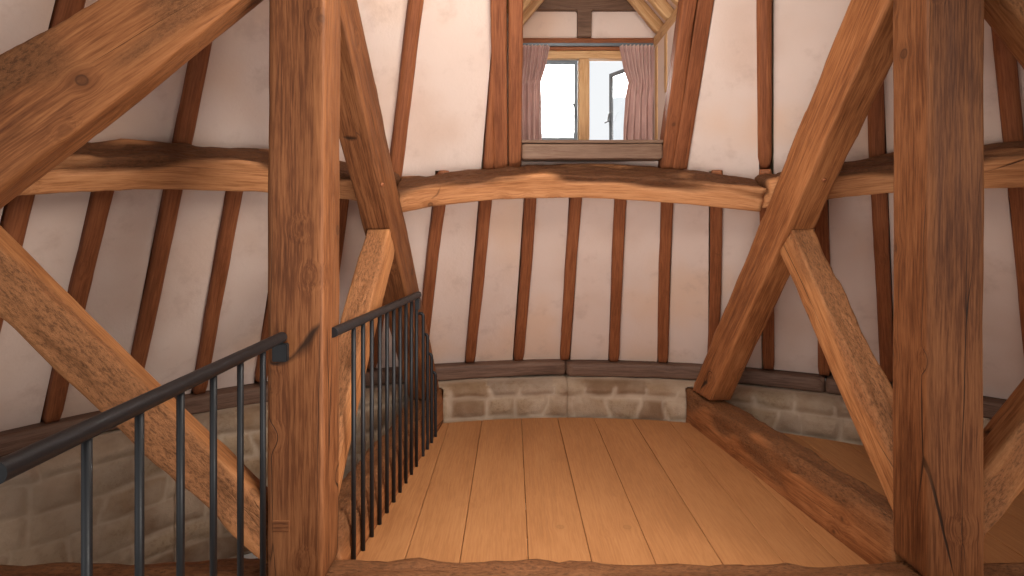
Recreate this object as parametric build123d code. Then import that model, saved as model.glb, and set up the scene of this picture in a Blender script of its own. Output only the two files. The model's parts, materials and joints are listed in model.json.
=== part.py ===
from build123d import *
import os
from math import cos, degrees, radians, sin, sqrt, tan

# Half of a round cottage's roof room, from the wall head up to the peak.
# Millimetres. +Z is up, +Y points away from the open side towards the dormer.
# The round room's axis is the Z axis, and the cut face is the plane y = 0.
# Heights above the floor boards are written as FLOOR plus a height.

FLOOR = 600.0               # top of the floor boards above the wall's foot
SECTOR = 90.0               # the half room runs from bearing -90 to +90

# Stone wall head. Its inner face stands inside the rafters' feet.
WALL_LEDGE = 160.0          # from the wall's inner face to the rafters' inner edge
WALL_THICK = 500.0
WALL_TOP = FLOOR + 250.0
SHELF_DROP = 60.0           # the worn inner edge of the wall head falls this much
SHELF_WIDTH = 110.0
WALL_SEGMENTS = 4

# Wall plate, a ring of short timbers on the wall head
PLATE_PROUD = 40.0          # the plate stands this far inside the rafters' inner edge
PLATE_WIDTH = 150.0
PLATE_HEIGHT = 100.0
PLATE_SEGMENTS = 6
JOINT_GAP = 2.0             # open joint between timbers laid end to end
PLATE_TOP = WALL_TOP + PLATE_HEIGHT

# Common rafters
PITCH = 60.0                # roof slope in degrees
RAFTER_FOOT = 3240.0        # radius of the rafters' inner edge at the plate
RAFTER_WIDTH = 75.0
RAFTER_DEPTH = 100.0
RAFTER_STEP = 6.0           # bearing from one rafter to the next below the purlins
CROWN_RADIUS = 420.0        # the long rafters end on the crown block
CROWN_NECK = 110.0          # radius of the pole that stands on the crown block
CROWN_DROP = 120.0          # the block hangs this far below the rafters' ends
CROWN_FOOT = 250.0          # radius of the block's underside
CROWN_RISE = 560.0          # height of the pole over the block's shoulder

# Plaster between the rafters, and thatch over them
PLASTER_SET_BACK = 45.0     # from the rafters' inner face
PLASTER_THICK = 25.0
THATCH_THICK = 230.0
THATCH_SEAT = 1.6           # the thatch lies this far off the flat rafter backs
THATCH_BANDS = (-90.0, -60.0, -30.0, 0.0)   # bearings where one band meets the next
THATCH_JOINT = 0.05         # degrees between the bands
THATCH_GAP = 1.0            # between the sides' thatch and the middle's

# Purlins, curved timbers that carry the rafters at mid height
PURLIN_TOP = FLOOR + 1690.0       # upper outer edge at mid length
PURLIN_DEPTH = 170.0
PURLIN_HEIGHT = 160.0
JACK_TOP = PURLIN_TOP - 60.0      # the short rafters end behind the purlins
TRIMMER_FOOT = PURLIN_TOP - 50.0  # the dormer's trimmers stand on the purlin

# Square cage of posts and the four raking frames round it
FRAME_AT = 1115.0           # the posts' middles, from the room's axis each way
POST_WIDTH = 195.0
POST_ABOVE = 210.0          # the post passes the raking timbers' heads by this much
TIE_WIDTH = 180.0
TIE_HEIGHT = 260.0
TIE_TOP = FLOOR + 100.0
BACK_TIE_TOP = FLOOR + 220.0   # the ties under the two back frames stand higher
TIE_BEARING = 130.0         # how far a tie reaches into the wall
TOP_BEAM_WIDTH = 140.0
TOP_BEAM_HEIGHT = 180.0
TOP_BEAM_ABOVE = 10.0       # its underside above the raking timbers' heads
PRINCIPAL_WIDTH = 150.0
PRINCIPAL_DEPTH = 210.0
PRINCIPAL_DROP = 1485.0     # its centre line at the post's face, below the rafters
PRINCIPAL_SLOPE = 52.6
FRAME_BEARINGS = {"left": -105.0, "back_left": 5.5, "back_right": -7.0, "right": 90.0}
LEFT_LOW_DROP = 215.0       # the left frame's timber is a tapering trunk. Its lower
LEFT_LOW_SLOPE = 44.2       # edge at the post's face lies this far under the others' head
LEFT_HIGH_RISE = 15.0       # its upper edge at the post's face, over the others' head
LEFT_HIGH_SLOPE = 35.5
LEFT_KNEE = 950.0           # from here to its foot the trunk keeps its depth
STRUT_WIDTH = 130.0
STRUT_DEPTH = 150.0
STRUT_FOOT = FLOOR + 320.0  # height of its centre line at the post's face
STRUT_SLOPE = 51.3
LEFT_STRUT_FOOT = FLOOR + 235.0
LEFT_STRUT_SLOPE = 48.8

# Floor
BOARD_THICK = 25.0
JOIST_WIDTH = 60.0
JOIST_HEIGHT = 130.0
JOIST_STEP = 400.0

# Dormer
TRIMMER_INSET = 50.0        # the trimmers' inner edge stands this far inside the rafters
TRIMMER_LAP = 30.0          # the trimmers stand this far inside the cheeks
TRIMMER_WIDTHS = (78.0, 84.0)  # each trimmer is a pair, the inner timber first
TRIMMER_JOINT = 0.5         # open joint within a pair
TRIMMER_TOP = FLOOR + 3200.0
DORMER_SHIFT = 70.0         # the dormer's middle stands this far right of the room's
DORMER_HALF = 430.0         # half the clear width between the cheeks
CHEEK_THICK = 60.0
WINDOW_SET_BACK = 490.0     # from the rafters' feet in to the window's inner face
FRAME_THICK = 70.0
FRAME_BAR = 50.0
MULLION = 70.0
SILL_TOP = FLOOR + 1780.0
SILL_HEIGHT = 90.0
SILL_DEPTH = 130.0
SILL_BOARD = 20.0
HEAD_UNDER = FLOOR + 2420.0
HEAD_HEIGHT = 80.0
HEAD_PROUD = 10.0           # the head stands this far proud of the frame, both sides
GABLE_PITCH = 50.0
DORMER_RAFTER_WIDTH = 50.0
DORMER_RAFTER_DEPTH = 70.0
DORMER_RAFTERS_AT = (-545.0, -320.0, -85.0, 165.0)   # from the window's inner face
DORMER_RAFTER_TAIL = 70.0   # the rafters' feet pass the cheeks' inner face by this much
CEILING_THICK = 20.0
CEILING_PROUD = 140.0       # the ceiling passes the window's outer face by this much
HOOD_THICK = 180.0
HOOD_EAVES = 210.0          # the hood's eaves, from the cheeks' inner face
HOOD_PROUD = 180.0          # the hood passes the window's outer face by this much
HOOD_JOINT = 1.0            # half the open joint along the ridge
GABLE_WALL_THICK = 50.0
GABLE_STUD_THICK = 45.0
GABLE_STUD_WIDTH = 90.0
GABLE_COLLAR_AT = 170.0     # underside of the collar above the head
GABLE_COLLAR_HEIGHT = 90.0

# Casements, curtains and their track
CASEMENT_BAR = 22.0
CASEMENT_THICK = 20.0
CASEMENT_GAP = 2.0
HINGE_LUG = 40.0            # height of each hinge lug on a casement's outer stile
HINGES_AT = (0.2, 0.8)      # heights of the lugs as shares of the casement
CASEMENT_SET_BACK = 40.0    # from the frame's inner face
GLASS_THICK = 4.0
RIGHT_CASEMENT_OPEN = 62.0  # degrees, standing open outwards
TRACK_WIDTH = 18.0
TRACK_DROP = 20.0
CURTAIN_THICK = 36.0
CURTAIN_TOP_WIDTH = 215.0
CURTAIN_WAIST_WIDTH = 150.0
CURTAIN_FOOT_WIDTH = 170.0
CURTAIN_WAIST = 0.70        # height of the waist as a share of the drop
SEAT = 0.3                  # clearance of a soft or hung piece from its seat

# Iron balustrade
RAIL_HEIGHT = 950.0
RAIL_RADIUS = 18.0
BALUSTER_RADIUS = 9.0
FRONT_STEP = 152.0          # from one baluster to the next on the front rail
BACK_STEP = 105.0           # and on the back rail
RAIL_PROUD = 85.0           # the front rail passes the cut face by this much
BACK_RAIL_OUT = 25.0        # the back rail stands this far off the frame's inner side
FRONT_RAIL_SHIFT = 45.0     # the front rail stands this far left of the post's middle
BRACKET = (50.0, 24.0, 60.0)
STEP_COUNT = 4              # short balusters with a bent top, past the rail's end

# Values that follow
SLOPE = tan(radians(PITCH))
WALL_IN = RAFTER_FOOT - WALL_LEDGE
WALL_OUT = WALL_IN + WALL_THICK
PLATE_IN = RAFTER_FOOT - PLATE_PROUD
RAFTER_ACROSS = RAFTER_DEPTH / sin(radians(PITCH))
FAR = 12000.0               # longer than anything here
HALF_POST = POST_WIDTH / 2
FRAME_OUT = FRAME_AT + HALF_POST
FRAME_IN = FRAME_AT - HALF_POST
PRINCIPAL_HEAD = PLATE_TOP + (RAFTER_FOOT - FRAME_OUT) * SLOPE - PRINCIPAL_DROP
POST_TOP = PRINCIPAL_HEAD + POST_ABOVE
TOP_BEAM_UNDER = PRINCIPAL_HEAD + TOP_BEAM_ABOVE
GABLE_SLOPE = tan(radians(GABLE_PITCH))
HEAD_TOP = HEAD_UNDER + HEAD_HEIGHT
GABLE_RIDGE = HEAD_TOP + DORMER_HALF * GABLE_SLOPE
RAFTER_RISE = DORMER_RAFTER_DEPTH / cos(radians(GABLE_PITCH))
CEILING_RISE = CEILING_THICK / cos(radians(GABLE_PITCH))
HOOD_RISE = HOOD_THICK / cos(radians(GABLE_PITCH))
CHEEK_OUT = DORMER_HALF + CHEEK_THICK
WINDOW_FACE = RAFTER_FOOT - WINDOW_SET_BACK
WINDOW_BACK = WINDOW_FACE + FRAME_THICK
CEILING_FRONT = WINDOW_BACK + CEILING_PROUD
HOOD_FRONT = WINDOW_BACK + HOOD_PROUD
TRIMMER_CLEAR = DORMER_HALF - TRIMMER_LAP
TRIMMER_OUT = TRIMMER_CLEAR + sum(TRIMMER_WIDTHS) + TRIMMER_JOINT
AT_DORMER = Pos(DORMER_SHIFT, 0, 0)
FRAME_FOOT = SILL_TOP + SILL_BOARD
SILL_UNDER = SILL_TOP - SILL_HEIGHT
THATCH_IN = RAFTER_FOOT + PLATE_HEIGHT / SLOPE + (
    RAFTER_DEPTH + THATCH_SEAT) / sin(radians(PITCH))
THATCH_OUT = THATCH_IN + THATCH_THICK / sin(radians(PITCH))
ORIGIN_Y = (THATCH_OUT - RAIL_PROUD) / 2   # the origin is under the middle of the depth


def inner_radius(z):
    """Radius of the rafters' inner face at height z."""
    return RAFTER_FOOT - (z - PLATE_TOP) / SLOPE


def height_at(r):
    """Height of the rafters' inner face at radius r."""
    return PLATE_TOP + (RAFTER_FOOT - r) * SLOPE


def face_xz(points):
    """A flat face from (x, z) points in the plane y = 0."""
    return make_face(Polyline(*[(x, 0, z) for x, z in points], close=True))


def face_yz(points):
    """A flat face from (y, z) points in the plane x = 0."""
    return make_face(Polyline(*[(0, y, z) for y, z in points], close=True))


def block(x0, x1, y0, y1, z0, z1):
    """An upright box between two corners."""
    size = Box(x1 - x0, y1 - y0, z1 - z0)
    return Pos((x0 + x1) / 2, (y0 + y1) / 2, (z0 + z1) / 2) * size


def turned(points, start, end):
    """A ring sector from an (r, z) outline, between two bearings."""
    return Rot(0, 0, 90 - end) * revolve(face_xz(points), Axis.Z, end - start)


def radial(points, width, bearing):
    """An upright slab from an (r, z) outline, pointing out at a bearing."""
    return Rot(0, 0, 90 - bearing) * extrude(face_xz(points), width / 2, both=True)


def along_y(points, y0, y1):
    """A prism from an (x, z) outline, between two distances from the axis."""
    return Pos(0, y0, 0) * extrude(face_xz(points), y1 - y0, dir=(0, 1, 0))


def along_x(points, x0, x1):
    """A prism from a (y, z) outline, between two places across the room."""
    return Pos(x0, 0, 0) * extrude(face_yz(points), x1 - x0, dir=(1, 0, 0))


def cone_within(offset):
    """Everything inside the roof slope, moved out level by offset."""
    foot = inner_radius(0) + offset
    return Pos(0, 0, foot * SLOPE / 2) * Cone(foot, 0, foot * SLOPE)


def mirrored(shape):
    return mirror(shape, Plane.YZ)


def save(name, *shapes):
    """Write one named piece, moved so that the origin is under the part's middle."""
    pieces = [s.moved(Pos(0, -ORIGIN_Y, 0)) for shape in shapes for s in shape.solids()]
    export_step(Compound(children=pieces) if len(pieces) > 1 else pieces[0],
                f"parts/{name}.step")


def save_dormer(name, *shapes):
    """The same for a piece of the dormer, which is drawn about its own middle."""
    save(name, *[AT_DORMER * shape for shape in shapes])


# Stone wall head

def wall_outline():
    return [(WALL_IN, 0), (WALL_OUT, 0), (WALL_OUT, WALL_TOP),
            (WALL_IN + SHELF_WIDTH, WALL_TOP), (WALL_IN, WALL_TOP - SHELF_DROP)]


def wall_segment(index, ties):
    span = 2 * SECTOR / WALL_SEGMENTS
    start = -SECTOR + index * span
    return turned(wall_outline(), start, start + span) - ties


def plate_segments():
    """Short timbers on the wall head, with open joints between them."""
    span = 2 * SECTOR / PLATE_SEGMENTS
    gap = degrees(JOINT_GAP / PLATE_IN)
    outline = [(PLATE_IN, WALL_TOP), (PLATE_IN + PLATE_WIDTH, WALL_TOP),
               (PLATE_IN + PLATE_WIDTH, PLATE_TOP), (PLATE_IN, PLATE_TOP)]
    starts = [-SECTOR + i * span for i in range(PLATE_SEGMENTS)]
    return [turned(outline, s + gap / 2, s + span - gap / 2) for s in starts]


# Rafters

def jack_outline():
    return [(RAFTER_FOOT, PLATE_TOP), (RAFTER_FOOT + RAFTER_ACROSS, PLATE_TOP),
            (inner_radius(JACK_TOP) + RAFTER_ACROSS, JACK_TOP),
            (inner_radius(JACK_TOP), JACK_TOP)]


def long_outline():
    top = height_at(CROWN_RADIUS)
    return [(RAFTER_FOOT, PLATE_TOP), (RAFTER_FOOT + RAFTER_ACROSS, PLATE_TOP),
            (CROWN_RADIUS, top + RAFTER_ACROSS * SLOPE), (CROWN_RADIUS, top)]


def rafter_bearings():
    count = int(SECTOR / RAFTER_STEP)
    return range(-count, count + 1)


def under_dormer(k):
    """True where a long rafter would run into the dormer or its trimmers."""
    across = inner_radius(TRIMMER_TOP) * sin(radians(k * RAFTER_STEP)) - DORMER_SHIFT
    return abs(across) < TRIMMER_OUT + RAFTER_WIDTH / 2


def jack_rafters():
    """Short rafters, from the plate to the purlins."""
    pieces = []
    for k in rafter_bearings():
        if k % 2 == 0 and not under_dormer(k):   # a long rafter stands here
            continue
        rafter = radial(jack_outline(), RAFTER_WIDTH, k * RAFTER_STEP)
        if abs(k) * RAFTER_STEP >= SECTOR:
            rafter = Pos(0, RAFTER_WIDTH / 2, 0) * rafter
        pieces.append(rafter)
    return pieces


def long_rafters():
    """Rafters that run from the plate to the crown block."""
    return [radial(long_outline(), RAFTER_WIDTH, k * RAFTER_STEP)
            for k in rafter_bearings() if k % 2 == 0 and not under_dormer(k)]


def cripple_rafters(dormer_body, trimmers):
    """Rafters from the back of the dormer's roof to the crown block."""
    bearings = [k for k in rafter_bearings() if k % 2 == 0 and under_dormer(k)]
    below = block(-FAR, FAR, -FAR, FAR, 0, JACK_TOP)
    pieces = []
    for k in bearings:
        rafter = radial(long_outline(), RAFTER_WIDTH, k * RAFTER_STEP)
        rafter = rafter - below - dormer_body - trimmers
        pieces.append(rafter.solids().sort_by(Axis.Z)[-1])
    return pieces


def crown_block():
    """The turned block at the peak that the rafters lean on, with its pole."""
    foot = height_at(CROWN_RADIUS)
    shoulder = foot + RAFTER_ACROSS * SLOPE
    neck = shoulder + (CROWN_RADIUS - CROWN_NECK) * SLOPE
    outline = [(0, foot - CROWN_DROP), (CROWN_FOOT, foot - CROWN_DROP),
               (CROWN_RADIUS, foot), (CROWN_RADIUS, shoulder), (CROWN_NECK, neck),
               (CROWN_NECK, neck + CROWN_RISE), (0, neck + CROWN_RISE)]
    return turned(outline, -SECTOR, SECTOR)


# Skins

def plaster(cutters):
    """Lime plaster between the rafters, as separate panels."""
    inset = PLASTER_SET_BACK / sin(radians(PITCH))
    thick = PLASTER_THICK / sin(radians(PITCH))
    r0 = RAFTER_FOOT + inset
    r1 = CROWN_RADIUS + inset
    outline = [(r0, PLATE_TOP), (r0 + thick, PLATE_TOP),
               (r1 + thick, height_at(CROWN_RADIUS)), (r1, height_at(CROWN_RADIUS))]
    skin = turned(outline, -SECTOR, SECTOR)
    for cutter in cutters:
        skin = skin - cutter
    return skin.solids()


def thatch_outline():
    neck = CROWN_NECK + SEAT
    return [(THATCH_IN, WALL_TOP), (THATCH_OUT, WALL_TOP),
            (neck, WALL_TOP + (THATCH_OUT - neck) * SLOPE),
            (neck, WALL_TOP + (THATCH_IN - neck) * SLOPE)]


def thatch_side(side, dormer_cut):
    """Thatch from the cut face to the dormer, in three bands."""
    keep = block(-FAR, DORMER_SHIFT - TRIMMER_OUT, 0, FAR, -FAR, FAR)
    if side > 0:
        keep = block(DORMER_SHIFT + TRIMMER_OUT, FAR, 0, FAR, -FAR, FAR)
    bands = []
    for start, end in zip(THATCH_BANDS, THATCH_BANDS[1:]):
        band = turned(thatch_outline(), start, end - THATCH_JOINT)
        band = (band if side < 0 else mirrored(band)) & keep
        bands.append((band - dormer_cut).solids().sort_by(SortBy.VOLUME)[-1])
    return bands


def thatch_middle(dormer_cut):
    """Thatch below and above the dormer."""
    half = TRIMMER_OUT - THATCH_GAP
    keep = AT_DORMER * block(-half, half, 0, FAR, -FAR, FAR)
    band = (turned(thatch_outline(), -SECTOR, SECTOR) & keep) - dormer_cut
    return band.solids().sort_by(SortBy.VOLUME)[-2:]


# Purlins

def purlin_ring():
    """A curved timber square to the slope, bowed to follow the rafters."""
    radius = inner_radius(PURLIN_TOP)
    bow = radius / sin(radians(PITCH))
    normal = Vector(0, sin(radians(PITCH)), cos(radians(PITCH)))
    up_slope = Vector(0, -cos(radians(PITCH)), sin(radians(PITCH)))
    centre = Vector(0, radius, PURLIN_TOP) - normal * bow
    seat = Plane(origin=centre, x_dir=(1, 0, 0), z_dir=up_slope)
    ring = Circle(bow + PURLIN_DEPTH) - Circle(bow - PURLIN_DEPTH)
    half = ring & (Pos(0, bow) * Rectangle(2 * bow, 2 * bow))
    return seat * extrude(half, -PURLIN_HEIGHT)


def purlin(bearing, keep, frames):
    """One curved timber, fitted to the rafters and notched over the frames."""
    piece = Rot(0, 0, -bearing) * purlin_ring() & cone_within(0)
    for part in keep:
        piece = piece & part
    for frame in frames:
        piece = piece - frame
    return piece.solids().sort_by(SortBy.VOLUME)[-1]


# Cage and raking frames

def post(side):
    return block(side * FRAME_AT - HALF_POST, side * FRAME_AT + HALF_POST,
                 FRAME_IN, FRAME_OUT, TIE_TOP, POST_TOP)


def wall_reach(across):
    """Distance from the cage's middle line to the wall's inner face."""
    return sqrt(WALL_IN ** 2 - across ** 2)


def cross_tie():
    half = wall_reach(FRAME_AT) + TIE_BEARING
    return block(-half, half, FRAME_AT - TIE_WIDTH / 2, FRAME_AT + TIE_WIDTH / 2,
                 TIE_TOP - TIE_HEIGHT, TIE_TOP)


def front_tie(side):
    middle = side * FRAME_AT
    return block(middle - TIE_WIDTH / 2, middle + TIE_WIDTH / 2, 0,
                 FRAME_AT - TIE_WIDTH / 2, TIE_TOP - TIE_HEIGHT, TIE_TOP)


def back_tie(name):
    """From the cross tie to the wall head, under a back frame."""
    under = TIE_TOP - TIE_HEIGHT
    outline = [(0, under), (FAR, under), (FAR, BACK_TIE_TOP), (0, BACK_TIE_TOP)]
    within = Cylinder(WALL_IN + TIE_BEARING, FAR)
    piece = frame_piece(outline, TIE_WIDTH, name) & within - cross_tie()
    return piece.solids().sort_by(SortBy.VOLUME)[-1]


def top_beam():
    half = TOP_BEAM_WIDTH / 2
    return block(-FRAME_IN, FRAME_IN, FRAME_AT - half, FRAME_AT + half,
                 TOP_BEAM_UNDER, TOP_BEAM_UNDER + TOP_BEAM_HEIGHT)


def top_rail(side):
    half = TOP_BEAM_WIDTH / 2
    return block(side * FRAME_AT - half, side * FRAME_AT + half, 0, FRAME_IN,
                 TOP_BEAM_UNDER, TOP_BEAM_UNDER + TOP_BEAM_HEIGHT)


def principal_edges():
    """Heights of the raking timber's lower and upper edges at the post's face."""
    half = PRINCIPAL_DEPTH / 2 / cos(radians(PRINCIPAL_SLOPE))
    return PRINCIPAL_HEAD - half, PRINCIPAL_HEAD + half


def left_edges():
    """The same for the left frame's tapering timber."""
    return PRINCIPAL_HEAD - LEFT_LOW_DROP, PRINCIPAL_HEAD + LEFT_HIGH_RISE


def principal_outline(name):
    """From inside the post down to the tie, as distances from the post's middle."""
    low, high = principal_edges()
    fall = tan(radians(PRINCIPAL_SLOPE))
    foot = BACK_TIE_TOP if name.startswith("back") else TIE_TOP
    return [(0, low + HALF_POST * fall), (HALF_POST + (low - foot) / fall, foot),
            (HALF_POST + (high - foot) / fall, foot), (0, high + HALF_POST * fall)]


def left_outline():
    """The left frame's timber, thicker towards its foot on the wall head."""
    low, high = left_edges()
    fall = tan(radians(LEFT_LOW_SLOPE))
    upper_fall = tan(radians(LEFT_HIGH_SLOPE))
    knee = high - LEFT_KNEE * upper_fall
    return [(0, low + HALF_POST * fall), (HALF_POST + (low - WALL_TOP) / fall, WALL_TOP),
            (HALF_POST + LEFT_KNEE + (knee - WALL_TOP) / fall, WALL_TOP),
            (HALF_POST + LEFT_KNEE, knee), (0, high + HALF_POST * upper_fall)]


def strut_outline(name):
    """A strut from the post's foot up to the raking timber's underside."""
    low, fall = principal_edges()[0], tan(radians(PRINCIPAL_SLOPE))
    foot, slope = STRUT_FOOT, STRUT_SLOPE
    if name == "left":
        low, fall = left_edges()[0], tan(radians(LEFT_LOW_SLOPE))
        foot, slope = LEFT_STRUT_FOOT, LEFT_STRUT_SLOPE
    climb = tan(radians(slope))
    half = STRUT_DEPTH / 2 / cos(radians(slope))
    points = []
    for start in (foot - half, foot + half):
        run = (low - start) / (fall + climb)
        points += [(0, start - HALF_POST * climb), (HALF_POST + run, start + run * climb)]
    return [points[0], points[1], points[3], points[2]]


def frame_side(name):
    return -1 if "left" in name else 1


def frame_piece(outline, width, name):
    """An upright slab in one of the four frames, from its post outwards."""
    side = frame_side(name)
    piece = Pos(side * FRAME_AT, FRAME_AT, 0) * radial(outline, width, FRAME_BEARINGS[name])
    return piece - post(side)


def strut(name, ties):
    piece = frame_piece(strut_outline(name), STRUT_WIDTH, name)
    for tie in ties:
        piece = piece - tie
    return piece.solids().sort_by(SortBy.VOLUME)[-1]


def beside(name, turn, gap):
    """All the room on one side of a frame's middle plane. Turn is 1 for clockwise."""
    half = block(0, FAR, -FAR, FAR, 0, FAR) if turn > 0 else block(-FAR, 0, -FAR, FAR, 0, FAR)
    turned_half = Rot(0, 0, -FRAME_BEARINGS[name]) * Pos(turn * gap, 0, 0) * half
    return Pos(frame_side(name) * FRAME_AT, FRAME_AT, 0) * turned_half


def principal(name, masonry):
    outline = left_outline() if name == "left" else principal_outline(name)
    piece = frame_piece(outline, PRINCIPAL_WIDTH, name) & cone_within(0)
    piece = piece & block(-FAR, FAR, 0, FAR, 0, FAR)
    for stone in masonry:
        piece = piece - stone
    return piece.solids().sort_by(SortBy.VOLUME)[-1]


# Floor

def floor_boards(ties):
    """Boards between the ties. The strip left of the cage is the stairwell."""
    room = Pos(0, 0, FLOOR - BOARD_THICK / 2) * Cylinder(WALL_IN, BOARD_THICK)
    room = room & block(-FRAME_AT, FAR, 0, FAR, 0, FAR)
    for tie in ties:
        room = room - tie
    return room.solids().sort_by(SortBy.VOLUME)[-4:]


def floor_joists(ties):
    """Joists across the room, ending on the ties and on the curved wall."""
    top = FLOOR - BOARD_THICK
    room = Cylinder(WALL_IN, FAR) & block(-FRAME_AT, FAR, 0, FAR, 0, FAR)
    pieces = []
    rows = [JOIST_STEP / 2 + i * JOIST_STEP for i in range(int(WALL_IN / JOIST_STEP))]
    for y in rows:
        if abs(y - FRAME_AT) < TIE_WIDTH / 2 + JOIST_WIDTH:
            continue
        bar = room & block(-FAR, FAR, y - JOIST_WIDTH / 2, y + JOIST_WIDTH / 2,
                           top - JOIST_HEIGHT, top)
        for tie in ties:
            bar = bar - tie
        pieces += [s for s in bar.solids() if s.bounding_box().size.X > JOIST_STEP]
    return pieces


# Dormer

def trimmer_line(z):
    """Distance from the axis of the trimmers' inner face at height z."""
    return inner_radius(z) - TRIMMER_INSET


def trimmer_slab(side, near, far):
    """A sloping slab on one side of the dormer, between two distances from its middle."""
    outline = [(trimmer_line(TRIMMER_FOOT), TRIMMER_FOOT),
               (trimmer_line(TRIMMER_FOOT) + RAFTER_ACROSS, TRIMMER_FOOT),
               (trimmer_line(TRIMMER_TOP) + RAFTER_ACROSS, TRIMMER_TOP),
               (trimmer_line(TRIMMER_TOP), TRIMMER_TOP)]
    piece = along_x(outline, near, far)
    return AT_DORMER * (piece if side > 0 else mirrored(piece))


def trimmer_pair(side, purlin_back):
    """Two timbers side by side, notched over the purlin."""
    split = TRIMMER_CLEAR + TRIMMER_WIDTHS[0]
    pieces = [trimmer_slab(side, TRIMMER_CLEAR, split),
              trimmer_slab(side, split + TRIMMER_JOINT, TRIMMER_OUT)]
    return [(p - purlin_back).solids().sort_by(SortBy.VOLUME)[-1] for p in pieces]


def gable_line(x, rise):
    """Height of the dormer roof's slope at x, lifted by rise."""
    return GABLE_RIDGE + rise - abs(x) * GABLE_SLOPE


def gable_band(half, low, high):
    """The (x, z) outline of an upside-down V between two lifts of the slope."""
    return [(-half, gable_line(half, low)), (0, gable_line(0, low)),
            (half, gable_line(half, low)), (half, gable_line(half, high)),
            (0, gable_line(0, high)), (-half, gable_line(half, high))]


def dormer_body(half, rise):
    """Everything under the dormer's roof slope, as wide as half each way."""
    top = gable_line(half, rise)
    outline = [(-half, SILL_UNDER), (half, SILL_UNDER), (half, top),
               (0, gable_line(0, rise)), (-half, top)]
    return AT_DORMER * along_y(outline, CROWN_RADIUS, HOOD_FRONT + WALL_THICK)


def dormer_sill():
    front = trimmer_line(SILL_TOP)
    return block(-TRIMMER_CLEAR, TRIMMER_CLEAR, front, front + SILL_DEPTH,
                 SILL_UNDER, SILL_TOP)


def window_board():
    front = trimmer_line(SILL_TOP)
    return block(-TRIMMER_CLEAR, TRIMMER_CLEAR, front, WINDOW_FACE, SILL_TOP, FRAME_FOOT)


def dormer_apron():
    """The low wall under the window frame."""
    return block(-DORMER_HALF, DORMER_HALF, WINDOW_FACE, WINDOW_BACK,
                 SILL_UNDER, FRAME_FOOT)


def cheek(side):
    back_low = trimmer_line(SILL_UNDER) + RAFTER_ACROSS
    back_high = trimmer_line(HEAD_UNDER) + RAFTER_ACROSS
    outline = [(back_low, SILL_UNDER), (WINDOW_BACK, SILL_UNDER),
               (WINDOW_BACK, HEAD_UNDER), (back_high, HEAD_UNDER)]
    piece = along_x(outline, DORMER_HALF, CHEEK_OUT)
    return piece if side > 0 else mirrored(piece)


def eaves_plate(side):
    back_low = trimmer_line(HEAD_UNDER) + RAFTER_ACROSS
    back_high = trimmer_line(HEAD_TOP) + RAFTER_ACROSS
    front = WINDOW_FACE - HEAD_PROUD
    outline = [(back_low, HEAD_UNDER), (front, HEAD_UNDER), (front, HEAD_TOP),
               (back_high, HEAD_TOP)]
    piece = along_x(outline, DORMER_HALF, CHEEK_OUT)
    return piece if side > 0 else mirrored(piece)


def dormer_head():
    return block(-CHEEK_OUT, CHEEK_OUT, WINDOW_FACE - HEAD_PROUD,
                 WINDOW_BACK + HEAD_PROUD, HEAD_UNDER, HEAD_TOP)


def window_frame():
    """Oak frame with a mullion and two lights."""
    frame = block(-DORMER_HALF, DORMER_HALF, WINDOW_FACE, WINDOW_BACK,
                  FRAME_FOOT, HEAD_UNDER)
    for side in (-1, 1):
        x0, x1 = sorted((side * MULLION / 2, side * (DORMER_HALF - FRAME_BAR)))
        frame = frame - block(x0, x1, 0, FAR, FRAME_FOOT + FRAME_BAR,
                              HEAD_UNDER - FRAME_BAR)
    return frame


def light_size():
    """Width and height of one casement."""
    width = DORMER_HALF - FRAME_BAR - MULLION / 2 - 2 * CASEMENT_GAP
    height = HEAD_UNDER - FRAME_FOOT - 2 * FRAME_BAR - 2 * CASEMENT_GAP
    return width, height


def casement():
    """A closed metal casement in the right light, and its pane."""
    width, height = light_size()
    x0 = MULLION / 2 + CASEMENT_GAP
    z0 = FRAME_FOOT + FRAME_BAR + CASEMENT_GAP
    y0 = WINDOW_FACE + CASEMENT_SET_BACK
    leaf = block(x0, x0 + width, y0, y0 + CASEMENT_THICK, z0, z0 + height)
    bar = CASEMENT_BAR
    hole = block(x0 + bar, x0 + width - bar, 0, FAR, z0 + bar, z0 + height - bar)
    pane_at = y0 + (CASEMENT_THICK - GLASS_THICK) / 2
    pane = block(x0 + bar, x0 + width - bar, pane_at, pane_at + GLASS_THICK,
                 z0 + bar, z0 + height - bar)
    leaf = leaf - hole
    for share in HINGES_AT:
        middle = z0 + share * height
        leaf = leaf + block(x0 + width, x0 + width + CASEMENT_GAP, y0,
                            y0 + CASEMENT_THICK, middle - HINGE_LUG / 2,
                            middle + HINGE_LUG / 2)
    return leaf, pane


def swung_open(shape):
    """The right casement stands open on the hinge at its outer stile."""
    hinge = Axis((DORMER_HALF - FRAME_BAR, WINDOW_BACK, 0), (0, 0, 1))
    slid = Pos(0, FRAME_THICK - CASEMENT_SET_BACK, 0) * shape
    return slid.rotate(hinge, -RIGHT_CASEMENT_OPEN)


def dormer_rafters(side):
    """Dormer rafters on one side, from the eaves plate to the ridge."""
    tail = DORMER_HALF + DORMER_RAFTER_TAIL
    outline = [(DORMER_HALF, HEAD_TOP), (tail, HEAD_TOP),
               (tail, gable_line(tail, RAFTER_RISE)),
               (0, gable_line(0, RAFTER_RISE)), (0, GABLE_RIDGE)]
    half = DORMER_RAFTER_WIDTH / 2
    places = [WINDOW_FACE + y for y in DORMER_RAFTERS_AT]
    pieces = [along_y(outline, y - half, y + half) for y in places]
    return pieces if side > 0 else [mirrored(p) for p in pieces]


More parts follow.
